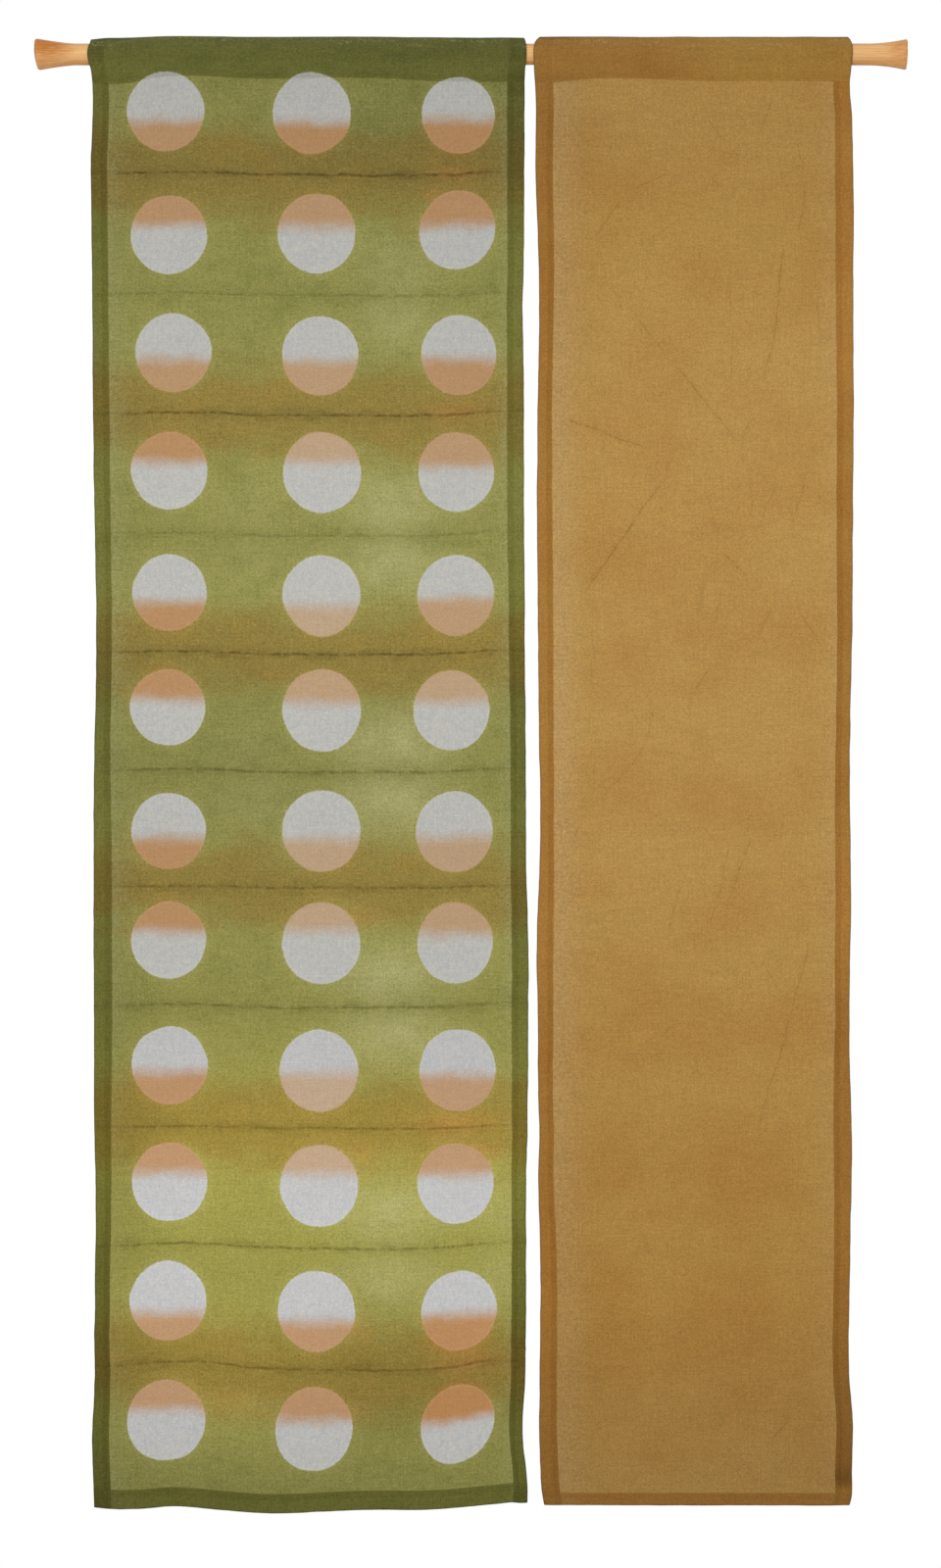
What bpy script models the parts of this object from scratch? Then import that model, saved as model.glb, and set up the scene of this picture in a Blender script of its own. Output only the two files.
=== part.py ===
"""Noren curtain: two cloth panels hung side by side on one turned wooden rod.

Each panel is one piece of cloth. Its heading is folded over into a pocket that the rod passes through,
and its side and bottom hems are turned to the back, where they stand a little proud of the cloth.

The origin is the middle of the rod's axis. X runs along the rod, Z is up, and the dyed fronts face -Y.
Constants are in metres. The short tables are in millimetres, because a maker reads them so.
"""
from collections import namedtuple
from math import acos, cos, pi, radians, sin

import bmesh
import bpy
import numpy as np
from mathutils import Matrix, Vector

MM = 0.001
WELD = 1e-6

# Rod, turned by hand from one length of wood, so its two flared ends differ a little
ROD_LENGTH = 0.892
ROD_RADIUS = 0.0109
ROD_SIDES = 24
FLARE_LENGTH = 0.042
FLARE_STEPS = 7
NECK_LENGTH = 0.0125
NECK_TO_BODY = 0.012
END_EDGE_STEPS = 3
END_DOME = 0.0015
SHARP_EDGE = radians(40)
WOOD_COLOR = (0.56, 0.34, 0.17)
WOOD_ROUGHNESS = 0.45

# Cloth and its turned hems
CLOTH_THICKNESS = 0.0012
HEM_EXTRA = 0.0008
SIDE_HEM = 0.0165
HEM_STEP = 0.001
CORNER_ROW = 0.0065
INNER_COLUMNS = 15
GREEN = (0.27, 0.24, 0.075)
OCHRE = (0.43, 0.26, 0.075)
CLOTH_ROUGHNESS = 0.9

# Rod pocket, pressed flat when it was sewn, so it stands up over the rod as a pointed arch
POCKET_CLEARANCE = 0.00035
POCKET_APEX = 0.0181
POCKET_SEAM = 0.0262
POCKET_ARC_STEPS = 3
ARCH_FOOT = 0.0085
WAIST_TO_SEAM_BREAK = 0.5
SHOULDER_TO_APEX_BREAK = 0.6
SEAM_ALLOWANCE = 0.0025

# The cloth swings free below the pocket, fully so after this length
FREE_AFTER = 0.37

RodEnd = namedtuple("RodEnd", "flare_radius flare_curve neck_radius edge_radius lean")
Edge = namedtuple("Edge", "depth left right")
Crease = namedtuple("Crease", "depth out")
Drop = namedtuple("Drop", "across depth")
Wave = namedtuple("Wave", "across down phase out")
Panel = namedtuple("Panel", "edges top bottom bottom_hem creases crease_width rows_between waves color")

LEFT_END = RodEnd(flare_radius=0.0154, flare_curve=1.35, neck_radius=0.0102, edge_radius=0.0032, lean=0.11)
RIGHT_END = RodEnd(flare_radius=0.0150, flare_curve=1.9, neck_radius=0.0106, edge_radius=0.0020, lean=0.055)

# Where each panel's side edges run: depth below the rod's axis, and both edges' distances from its middle
LEFT_EDGES = (
    Edge(-18.0, -388.0, 52.7),
    Edge(-14.0, -388.4, 54.8),
    Edge(-8.0, -390.4, 55.6),
    Edge(8.0, -390.6, 55.4),
    Edge(14.0, -388.4, 55.0),
    Edge(26.0, -387.0, 54.4),
    Edge(105.0, -388.1, 54.0),
    Edge(225.0, -387.0, 52.9),
    Edge(325.0, -386.5, 53.3),
    Edge(445.0, -384.8, 53.5),
    Edge(625.0, -382.8, 54.4),
    Edge(765.0, -385.2, 55.6),
    Edge(845.0, -385.0, 56.5),
    Edge(905.0, -385.5, 57.9),
    Edge(985.0, -384.9, 57.9),
    Edge(1085.0, -384.9, 57.1),
    Edge(1205.0, -383.6, 55.3),
    Edge(1305.0, -384.5, 55.5),
    Edge(1365.0, -384.5, 54.0),
    Edge(1405.0, -386.7, 51.9),
    Edge(1445.0, -386.2, 55.5),
    Edge(1467.0, -385.3, 57.3),
    Edge(1482.0, -384.8, 56.8),
)
RIGHT_EDGES = (
    Edge(-18.0, 69.5, 383.5),
    Edge(-14.0, 65.5, 386.6),
    Edge(-8.0, 64.1, 387.6),
    Edge(14.0, 64.2, 387.3),
    Edge(26.0, 65.0, 386.2),
    Edge(85.0, 65.4, 389.1),
    Edge(245.0, 69.0, 389.7),
    Edge(405.0, 68.0, 390.0),
    Edge(445.0, 66.9, 389.2),
    Edge(585.0, 67.7, 388.2),
    Edge(765.0, 70.4, 385.5),
    Edge(865.0, 68.0, 387.8),
    Edge(965.0, 66.7, 385.1),
    Edge(1085.0, 68.9, 387.6),
    Edge(1165.0, 67.9, 386.8),
    Edge(1205.0, 70.0, 386.7),
    Edge(1305.0, 70.3, 384.5),
    Edge(1395.0, 69.4, 388.8),
    Edge(1445.0, 70.1, 389.2),
    Edge(1474.0, 72.9, 389.0),
    Edge(1480.5, 74.8, 385.6),
)

# Where each top fold runs, which droops at its loose corners: distance from the left edge, and depth
LEFT_TOP = (
    Drop(0.0, -15.3),
    Drop(12.0, -16.5),
    Drop(40.0, -17.3),
    Drop(57.0, -18.1),
    Drop(310.0, -18.1),
    Drop(345.0, -17.6),
    Drop(443.0, -17.2),
)
RIGHT_TOP = (
    Drop(0.0, -18.1),
    Drop(314.0, -18.1),
)

# Where each bottom edge runs: distance from the left edge, and depth
LEFT_BOTTOM = (
    Drop(0.0, 1482.0),
    Drop(40.0, 1484.4),
    Drop(84.0, 1481.5),
    Drop(108.0, 1483.1),
    Drop(132.0, 1485.4),
    Drop(168.0, 1488.2),
    Drop(204.0, 1488.3),
    Drop(240.0, 1486.6),
    Drop(276.0, 1485.1),
    Drop(348.0, 1484.8),
    Drop(396.0, 1480.6),
    Drop(426.0, 1475.6),
    Drop(436.0, 1478.2),
    Drop(443.0, 1477.8),
)
RIGHT_BOTTOM = (
    Drop(0.0, 1480.5),
    Drop(314.0, 1480.5),
)

# How far each crease stands out to the front: the dyer's back and forth folds, and where the cloth hangs free
LEFT_CREASES = (
    Crease(28.7, 0.0),
    Crease(121.5, -1.8),
    Crease(244.5, 1.2),
    Crease(366.5, -2.0),
    Crease(489.5, 1.3),
    Crease(609.5, -2.1),
    Crease(731.5, 1.2),
    Crease(851.5, -2.2),
    Crease(969.5, 1.4),
    Crease(1094.5, -2.0),
    Crease(1214.5, 1.3),
    Crease(1337.5, -1.9),
    Crease(1490.0, 1.0),
)
RIGHT_CREASES = (
    Crease(28.7, 0.0),
    Crease(360.0, 1.0),
    Crease(745.0, -1.0),
    Crease(1130.0, 1.2),
    Crease(1490.0, -0.6),
)

# Slow waves of the free cloth: waves across its width, waves down its length, phase in degrees, height
LEFT_WAVES = (
    Wave(1.4, 0.5, 35.0, 1.6),
    Wave(0.6, 1.8, 200.0, 1.2),
)
RIGHT_WAVES = (
    Wave(1.2, 0.6, 250.0, 1.8),
    Wave(0.5, 1.5, 80.0, 1.3),
)

LEFT_PANEL = Panel(
    edges=LEFT_EDGES, top=LEFT_TOP, bottom=LEFT_BOTTOM, bottom_hem=0.0175,
    creases=LEFT_CREASES, crease_width=8.0, rows_between=1, waves=LEFT_WAVES, color=GREEN)
RIGHT_PANEL = Panel(
    edges=RIGHT_EDGES, top=RIGHT_TOP, bottom=RIGHT_BOTTOM, bottom_hem=0.0125,
    creases=RIGHT_CREASES, crease_width=45.0, rows_between=3, waves=RIGHT_WAVES, color=OCHRE)


def table(rows, key, value, at):
    """Reads a table of millimetres at one place in metres, in straight runs between its rows."""
    places = [getattr(row, key) for row in rows]
    values = [getattr(row, value) for row in rows]
    return float(np.interp(at / MM, places, values)) * MM


def clear_scene():
    for item in list(bpy.data.objects):
        bpy.data.objects.remove(item, do_unlink=True)


def make_material(name, color, roughness):
    material = bpy.data.materials.new(name)
    material.use_nodes = True
    shader = next(node for node in material.node_tree.nodes if node.type == "BSDF_PRINCIPLED")
    shader.inputs["Base Color"].default_value = (*color, 1.0)
    shader.inputs["Roughness"].default_value = roughness
    shader.inputs["Metallic"].default_value = 0.0
    return material


def make_object(name, bm, material):
    """Closes a bmesh into a mesh with its faces outwards and puts it in the scene."""
    bmesh.ops.remove_doubles(bm, verts=bm.verts, dist=WELD)
    bmesh.ops.recalc_face_normals(bm, faces=bm.faces)
    mesh = bpy.data.meshes.new(name)
    bm.to_mesh(mesh)
    bm.free()
    mesh.materials.append(material)
    piece = bpy.data.objects.new(name, mesh)
    bpy.context.collection.objects.link(piece)
    return piece


def flared_end(end):
    """A turned outline from the middle of an end face to the rod's body: distances from the end and radii."""
    edge_middle = end.flare_radius - end.edge_radius
    outline = [(0.0, 0.0)]
    for step in range(END_EDGE_STEPS + 1):
        turn = radians(90) * step / END_EDGE_STEPS
        along = END_DOME + end.edge_radius * (1 - cos(turn))
        outline.append((along, edge_middle + end.edge_radius * sin(turn)))
    flare_start = END_DOME + end.edge_radius
    for step in range(1, FLARE_STEPS + 1):
        share = step / FLARE_STEPS
        along = flare_start + share * (FLARE_LENGTH - flare_start)
        swell = (end.flare_radius - end.neck_radius) * (1 - share) ** end.flare_curve
        outline.append((along, end.neck_radius + swell))
    outline.append((FLARE_LENGTH + NECK_LENGTH, end.neck_radius))
    outline.append((FLARE_LENGTH + NECK_LENGTH + NECK_TO_BODY, ROD_RADIUS))
    return outline


def lean_ends(bm):
    """Leans each end face so that its top stands out further, and fades that out along the flare."""
    half = ROD_LENGTH / 2
    for vert in bm.verts:
        end = LEFT_END if vert.co.x < 0 else RIGHT_END
        outwards = -1 if vert.co.x < 0 else 1
        share = max(0.0, 1 - (half - abs(vert.co.x)) / FLARE_LENGTH)
        vert.co.x += outwards * end.lean * vert.co.z * share


def build_rod():
    half = ROD_LENGTH / 2
    left = [(-half + along, radius) for along, radius in flared_end(LEFT_END)]
    right = [(half - along, radius) for along, radius in flared_end(RIGHT_END)]
    # The outline starts half a side off the bottom, so that one flat side of the rod faces straight down
    first_side = Matrix.Rotation(pi / ROD_SIDES, 4, "X")
    bm = bmesh.new()
    outline = [bm.verts.new(first_side @ Vector((x, 0.0, -radius))) for x, radius in left + right[::-1]]
    edges = [bm.edges.new(pair) for pair in zip(outline, outline[1:])]
    bmesh.ops.spin(
        bm, geom=outline + edges, cent=(0, 0, 0), axis=(1, 0, 0), dvec=(0, 0, 0),
        angle=2 * pi, steps=ROD_SIDES, use_merge=True, use_duplicate=False)
    lean_ends(bm)
    rod = make_object("rod", bm, make_material("turned_wood", WOOD_COLOR, WOOD_ROUGHNESS))
    rod.data.shade_smooth()
    rod.data.set_sharp_from_angle(angle=SHARP_EDGE)


def pocket_outline():
    """The middle of the pocket's cloth seen along the rod, from the seam up the front and down the back."""
    half_cloth = CLOTH_THICKNESS / 2
    touch = ROD_RADIUS + POCKET_CLEARANCE + half_cloth
    apex = POCKET_APEX - half_cloth * POCKET_APEX / touch
    upper = acos(touch / apex)
    lower = pi - acos(touch / POCKET_SEAM)
    step = (lower - upper) / POCKET_ARC_STEPS
    # The arc's corners lie a little further out, so that the middles of its flats clear the rod
    radius = touch / cos(step / 2)
    bends = [Vector((0.0, -radius * sin(turn), radius * cos(turn)))
             for turn in (lower - step * k for k in range(POCKET_ARC_STEPS + 1))]
    waist, shoulder = bends[0], bends[-1]
    top = Vector((0.0, 0.0, apex))
    seam = Vector((0.0, 0.0, -POCKET_SEAM))
    lower_break = waist.lerp(seam, WAIST_TO_SEAM_BREAK)
    upper_break = shoulder.lerp(top, SHOULDER_TO_APEX_BREAK)
    front = [seam, lower_break] + bends + [upper_break]
    back = [Vector((0.0, -point.y, point.z)) for point in front[::-1]]
    return front + [top] + back


def offset_outline(points, distance):
    """Moves an open outline sideways, keeping the cloth's thickness at its corners."""
    moved = []
    for before, here, after in zip(points, points[1:], points[2:]):
        inwards = (here - before).normalized()
        outwards = (after - here).normalized()
        mean = (inwards + outwards).normalized()
        side = Vector((0.0, -mean.z, mean.y))
        moved.append(here + side * distance / mean.dot(inwards))
    return moved


def crease_rows(panel):
    """Rows in millimetres on each crease, just above and below it, and evenly between creases."""
    rows = []
    for crease, after in zip(panel.creases[:-1], panel.creases[1:]):
        if rows:
            rows += [crease.depth - panel.crease_width, crease.depth, crease.depth + panel.crease_width]
        spacing = (after.depth - crease.depth) / (panel.rows_between + 1)
        rows += [crease.depth + spacing * k for k in range(1, panel.rows_between + 1)]
    return rows


def row_depths(panel):
    """Depths of the rows of the hanging cloth on its left edge, from under the seam to the bottom."""
    bottom = panel.bottom[0].depth * MM
    hem_top = bottom - panel.bottom_hem
    first = POCKET_SEAM + SEAM_ALLOWANCE
    depths = [first, first + HEM_STEP]
    depths += [depth * MM for depth in crease_rows(panel)]
    return depths + [hem_top - HEM_STEP / 2, hem_top + HEM_STEP / 2, bottom - CORNER_ROW, bottom]


def build_section(bm, panel, flat):
    """Draws the panel's section in the YZ plane as a strip of faces: the pocket's wall, then the cloth."""
    middle = pocket_outline()
    half_cloth = CLOTH_THICKNESS / 2
    seam_front = bm.verts.new((0.0, -half_cloth, -POCKET_SEAM))
    seam_back = bm.verts.new((0.0, half_cloth, -POCKET_SEAM))
    run = (middle[1] - middle[0]).normalized()
    meeting = bm.verts.new((0.0, 0.0, -POCKET_SEAM + half_cloth / abs(run.y)))
    outer = [seam_front] + [bm.verts.new(p) for p in offset_outline(middle, half_cloth)] + [seam_back]
    inner = [meeting] + [bm.verts.new(p) for p in offset_outline(middle, -half_cloth)] + [meeting]
    for k in range(len(outer) - 1):
        bm.faces.new((outer[k], outer[k + 1], inner[k + 1], inner[k]))
    bm.faces.new((seam_front, meeting, seam_back))
    front, back = seam_front, seam_back
    for depth in row_depths(panel):
        next_front = bm.verts.new((0.0, -half_cloth, -depth))
        next_back = bm.verts.new((0.0, half_cloth, -depth))
        bm.faces.new((front, back, next_back, next_front))
        front, back = next_front, next_back
    for vert in bm.verts:
        vert[flat] = vert.co.copy()


def column_places():
    """Where the section is repeated across a panel: a distance from one side edge, and that edge's share."""
    hem_columns = (0.0, SIDE_HEM - HEM_STEP / 2, SIDE_HEM + HEM_STEP / 2)
    places = [(inset, 0.0) for inset in hem_columns]
    places += [(0.0, k / (INNER_COLUMNS + 1)) for k in range(1, INNER_COLUMNS + 1)]
    places += [(-inset, 1.0) for inset in hem_columns[::-1]]
    return places


def place_in_pocket(panel, flat, x, left):
    """A point of the pocket, whose arch droops where the panel's top fold does."""
    z = flat.z
    if z > ARCH_FOOT:
        apex_here = -table(panel.top, "across", "depth", x - left)
        z = ARCH_FOOT + (z - ARCH_FOOT) * (apex_here - ARCH_FOOT) / (POCKET_APEX - ARCH_FOOT)
    return Vector((x, flat.y, z))


def place_point(panel, flat, inset, share):
    """Where a point of the flat-cut panel goes when the panel hangs on the rod."""
    depth = -flat.z
    left = table(panel.edges, "depth", "left", depth)
    right = table(panel.edges, "depth", "right", depth)
    x = left + share * (right - left) + inset
    if depth < POCKET_SEAM + WELD:
        return place_in_pocket(panel, flat, x, left)
    bottom_edge = panel.bottom[0].depth * MM
    hem_top = bottom_edge - panel.bottom_hem
    if depth > hem_top - HEM_STEP:
        depth += table(panel.bottom, "across", "depth", x - left) - bottom_edge
    free = min(1.0, (depth - POCKET_SEAM) / FREE_AFTER)
    out = table(panel.creases, "depth", "out", depth)
    for wave in panel.waves:
        turns = wave.across * (x - left) / (right - left) + wave.down * depth / bottom_edge
        out += wave.out * MM * free * sin(2 * pi * turns + radians(wave.phase))
    y = flat.y - out
    in_side_hem = share in (0.0, 1.0) and abs(inset) < SIDE_HEM
    in_seam = -flat.z < POCKET_SEAM + SEAM_ALLOWANCE + WELD
    in_bottom_hem = -flat.z > hem_top
    if flat.y > 0 and (in_side_hem or in_seam or in_bottom_hem):
        y += HEM_EXTRA
    return Vector((x, y, -depth))


def build_panel(name, panel):
    bm = bmesh.new()
    flat = bm.verts.layers.float_vector.new("flat")
    build_section(bm, panel, flat)
    section = list(bm.verts) + list(bm.edges) + list(bm.faces)
    columns = [list(bm.verts)]
    for _ in column_places()[1:]:
        section = bmesh.ops.extrude_face_region(bm, geom=section)["geom"]
        columns.append([item for item in section if isinstance(item, bmesh.types.BMVert)])
    for (inset, share), column in zip(column_places(), columns):
        for vert in column:
            vert.co = place_point(panel, vert[flat], inset, share)
    bm.verts.layers.float_vector.remove(flat)
    make_object(name, bm, make_material(name + "_cloth", panel.color, CLOTH_ROUGHNESS))


clear_scene()
build_rod()
build_panel("panel_left", LEFT_PANEL)
build_panel("panel_right", RIGHT_PANEL)
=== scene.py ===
"""Dresses the noren: two hemmed and dyed cloth panels, and the turned wooden rod that carries them.

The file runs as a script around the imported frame, and is laid out as an add-on with one button for each
piece.
Sizes are in metres, except in the short tables and in the materials, which are in millimetres. Cloth depths
are measured down from the rod's axis, and places across are measured from the middle of the rod. In the
tables of the tops, the bottoms and the seams they are measured from the panel's left edge.
"""
from collections import namedtuple
from math import cos, pi, radians, sin

import bmesh
import bpy
import numpy as np
from bpy.props import FloatProperty, FloatVectorProperty, IntProperty, PointerProperty
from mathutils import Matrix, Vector, noise


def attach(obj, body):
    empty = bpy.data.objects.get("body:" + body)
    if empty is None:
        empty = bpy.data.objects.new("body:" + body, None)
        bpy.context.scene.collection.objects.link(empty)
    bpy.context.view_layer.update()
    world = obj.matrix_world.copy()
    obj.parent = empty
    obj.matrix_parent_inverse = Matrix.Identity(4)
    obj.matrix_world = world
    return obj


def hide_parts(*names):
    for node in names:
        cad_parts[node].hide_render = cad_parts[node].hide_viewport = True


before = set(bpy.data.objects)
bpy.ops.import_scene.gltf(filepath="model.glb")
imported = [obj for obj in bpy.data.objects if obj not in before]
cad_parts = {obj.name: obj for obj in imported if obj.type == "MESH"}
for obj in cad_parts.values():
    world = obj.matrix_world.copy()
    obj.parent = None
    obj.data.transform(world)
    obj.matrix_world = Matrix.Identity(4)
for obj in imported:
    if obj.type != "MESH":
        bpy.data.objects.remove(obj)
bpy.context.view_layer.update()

bl_info = {
    "name": "Noren curtain",
    "version": (1, 0, 0),
    "blender": (4, 5, 0),
    "location": "View3D > Sidebar > Noren",
    "description": "Makes a noren of two hemmed cloth panels on a turned wooden rod",
    "category": "Add Mesh",
}

MM = 0.001

Edge = namedtuple("Edge", "depth left right")
Crease = namedtuple("Crease", "depth out mark arch low", defaults=(0, 0, 0))
Arch = namedtuple("Arch", "across low")
Drop = namedtuple("Drop", "across depth")
Wave = namedtuple("Wave", "across down phase out")
Tone = namedtuple("Tone", "depth level left right warmth dot", defaults=(1,))
HemStation = namedtuple("HemStation", "share inset layer cloths stack", defaults=(2,))
Spot = namedtuple("Spot", "across depth wide tall share")
DotColumn = namedtuple("DotColumn", "middle wide tall")
Dot = namedtuple("Dot", "across depth dip weak grow slant", defaults=(0,))
RodEnd = namedtuple("RodEnd", "flare_radius flare_curve neck_radius edge_radius lean")
Panel = namedtuple("Panel", "name node slot flat bottom_hem edges hems top bottom seam creases waves tones"
                            " hem_tones wrinkles")


def table(kind, rows):
    return tuple(kind(*row) for row in rows)


LEFT_END = RodEnd(0.0160, 1.35, 0.0111, 0.0032, 0.11)
RIGHT_END = RodEnd(0.0156, 1.9, 0.0112, 0.0020, 0.055)

# Where each panel's side edges run, left and right, down the cloth
LEFT_EDGES = table(Edge, (
    (-18, -388, 52.7), (-14, -388.4, 54.8), (-8, -390.4, 55.6), (8, -390.6, 55.4), (14, -388.4, 55),
    (26, -387, 54.4), (105, -388.1, 54), (225, -387, 52.9), (265, -386.6, 52.1), (325, -386.4, 53.2),
    (445, -384.8, 53.4), (585, -382.7, 54.3), (625, -382.8, 54.4), (705, -384.3, 55.3),
    (765, -385.3, 55.4), (845, -385.3, 56), (905, -385.5, 57.9), (985, -384.9, 57.9), (1085, -384.9, 57.1),
    (1185, -383.1, 55.4), (1225, -383.7, 55.6), (1305, -384.4, 55.4), (1365, -384.8, 54.2),
    (1405, -386.7, 51.9), (1445, -386.2, 55.5), (1467, -385.3, 57.3), (1490, -384.8, 56.8),
))
RIGHT_EDGES = table(Edge, (
    (-18, 69.5, 383.5), (-14, 65.5, 386.6), (-8, 64.1, 387.6), (14, 64.2, 387.3), (26, 65, 386.2),
    (65, 65.4, 388), (105, 65.3, 389.1), (185, 68.1, 389.6), (265, 69.2, 389.4), (345, 68, 389.4),
    (465, 67, 389.1), (585, 67.8, 388.2), (705, 68.9, 386.2), (765, 70.2, 385.6), (825, 69.3, 386.9),
    (905, 66.5, 386.7), (985, 67.9, 385.3), (1065, 68, 386.6), (1105, 69.1, 387.9), (1145, 68.2, 387.6),
    (1225, 70, 386.3), (1305, 70.3, 384.5), (1345, 69.6, 385.1), (1395, 69.4, 388.4), (1445, 70.5, 388),
    (1474, 73.4, 387.2), (1481, 75, 385.2),
))

# How wide the side hems are
LEFT_HEMS = table(Edge, (
    (20, 16.4, 17.8), (145, 16.4, 17.4), (265, 16.2, 16.2), (345, 16.6, 17.2), (545, 15.9, 16.6),
    (705, 16, 15.5), (785, 17.9, 15.5), (945, 18.5, 17), (1065, 17.6, 16.2), (1185, 15.5, 14.5),
    (1345, 15.6, 14.6), (1425, 17.2, 13.4), (1490, 17.2, 15),
))
RIGHT_HEMS = table(Edge, (
    (20, 18.3, 16.4), (145, 17, 18.4), (265, 14.5, 17.4), (505, 15.6, 16.2), (705, 14.6, 14.3),
    (785, 13.6, 15.3), (905, 16.8, 15.6), (985, 15.6, 14.4), (1105, 14.6, 18.6), (1185, 16, 16.8),
    (1345, 17.4, 16.2), (1481, 18.6, 17.2),
))

# Where each top fold runs, which droops at its loose corners, and where each bottom edge runs
LEFT_TOP = table(Drop, (
    (0, -15.3), (12, -16.5), (40, -17.3), (57, -18.1), (180, -18), (310, -18.1), (345, -17.6),
    (443, -17.2),
))
RIGHT_TOP = table(Drop, (
    (0, -18.1), (150, -18.1), (314, -18.1),
))
LEFT_BOTTOM = table(Drop, (
    (0, 1482.6), (8, 1483.4), (40, 1484.4), (84, 1481.5), (108, 1483.1), (132, 1485.4), (168, 1488.2),
    (204, 1488.3), (240, 1486.6), (276, 1485.1), (348, 1484.8), (396, 1480.6), (416, 1478.6),
    (426, 1477.4), (436, 1478.2), (443, 1477.8),
))
RIGHT_BOTTOM = table(Drop, (
    (0, 1480.5), (150, 1480.5), (314, 1480.5),
))

# Where the seams under the rod pockets run
LEFT_SEAM = table(Drop, (
    (0, 28.8), (40, 28.6), (56, 25), (180, 24.4), (320, 24.8), (345, 26.6), (443, 27.8),
))
RIGHT_SEAM = table(Drop, (
    (0, 28.4), (25, 28), (45, 25.6), (140, 25.4), (180, 26.8), (240, 26.4), (314, 27.4),
))

# How much lower than its ends a fold line runs, across the left panel
FOLD_ARCH = table(Arch, (
    (-389, -0.5), (-351, -1), (-311, -2.1), (-261, -1.5), (-231, 0), (-191, 1), (-111, 1.3), (-51, 1.3),
    (-16, 0), (19, -2.6), (56, -3.8),
))

# The dyer's folds, out and in: how far the cloth stands out there, how strong the fold's mark is, how much
# of that arch its line has, and how much lower it runs. The plain panel only bends there.
LEFT_CREASES = table(Crease, (
    (28.7, 0), (121.5, -1.8, 1.3, 0.7, 0.4), (244.5, 1.2, 0.6, 0.9, 0.7), (366.5, -2, 1.25, 1, 0.9),
    (489.5, 1.3, 0.55, 1.2, 0.4), (609.5, -2.1, 1.3, 1, 1.4), (731.5, 1.2, 0.95, 1, -0.2),
    (851.5, -2.2, 1, 0.6, -1.6), (969.5, 1.4, 0.95, 1.2, 1.8), (1094.5, -2, 0.95, 0.6, 0.7),
    (1214.5, 1.3, 1.1, 1.5, 1.8), (1337.5, -1.9, 1, 2.5, 2), (1490, 1),
))
RIGHT_CREASES = table(Crease, (
    (28.7, 0), (360, 1), (745, -1), (1130, 1.2), (1490, -0.6),
))

# Slow waves of the free cloth: waves across its width, waves down its length, phase in degrees, height
LEFT_WAVES = table(Wave, (
    (1.4, 0.5, 35, 1.6), (0.6, 1.8, 200, 1.2),
))
RIGHT_WAVES = table(Wave, (
    (1.2, 0.6, 250, 1.8), (0.5, 1.5, 80, 1.3),
))

# How light the dye came out down each panel, what share of that its left and right parts have, how yellow
# it is, and how light the undyed dots are there
# The darker first rows, over the rod, are painted shade: the rod in the pocket keeps light from coming
# through
LEFT_TONES = table(Tone, (
    (-20, 0.58, 1, 0.92, 0, 0.82), (2, 0.59, 1, 0.92, 0, 0.82), (8, 0.7, 0.95, 0.92, 0, 0.82),
    (26, 0.735, 0.97, 0.94, 0, 0.82), (60, 0.77, 0.97, 0.84, 0, 0.83), (110, 0.76, 0.95, 0.93, 0, 0.85),
    (165, 0.88, 0.92, 1, 0, 0.88), (240, 0.88, 0.95, 1, 0, 0.91), (320, 0.96, 0.95, 1, 0, 0.93),
    (430, 1, 0.9, 1, 0, 0.97), (490, 0.95, 0.93, 1, 0, 0.99), (570, 1.03, 0.95, 1, 0, 0.98),
    (650, 0.88, 0.96, 1.07, 0, 0.97), (740, 0.82, 0.98, 1.08, 0, 0.96), (810, 0.94, 0.95, 1.06, 0, 0.94),
    (900, 0.96, 0.87, 1.06, 0.1, 0.95), (970, 0.91, 0.86, 1.02, 0.3, 0.96), (1010, 1.03, 0.85, 1, 0.5),
    (1070, 1.19, 0.8, 1, 0.8, 1.04), (1145, 1.31, 0.75, 1, 1, 1.1), (1190, 1.22, 0.8, 1, 1, 1.13),
    (1240, 1.14, 0.87, 1, 1, 1.12), (1280, 1.19, 0.86, 0.9, 0.9, 1.1), (1340, 1.06, 0.8, 0.84, 0.8, 1.02),
    (1395, 1, 0.82, 0.82, 0.5, 0.97), (1425, 0.85, 0.9, 0.98, 0.3, 0.95),
    (1460, 0.7, 0.95, 1.1, 0.2, 0.93), (1490, 0.68, 0.97, 1.05, 0.3, 0.93),
))
RIGHT_TONES = table(Tone, (
    (-20, 0.77, 1, 1, 0), (2, 0.78, 1, 1, 0), (8, 0.86, 1, 1, 0), (26, 0.84, 0.93, 1.03, 0.2),
    (60, 0.82, 0.93, 1.03, 0.2), (180, 0.88, 0.97, 1, 0.4), (300, 0.97, 0.96, 1.02, 0),
    (450, 0.99, 0.98, 1, 0.2), (640, 1, 0.98, 1, 0), (830, 0.98, 0.98, 1, 0.1), (950, 0.93, 0.97, 1, 0.3),
    (1100, 0.88, 0.98, 1, 0.55), (1270, 0.84, 0.96, 0.97, 0.8), (1360, 0.76, 0.95, 0.97, 0.8),
    (1440, 0.72, 0.96, 0.96, 0.4), (1490, 0.7, 1, 1, 0.2),
))

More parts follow.
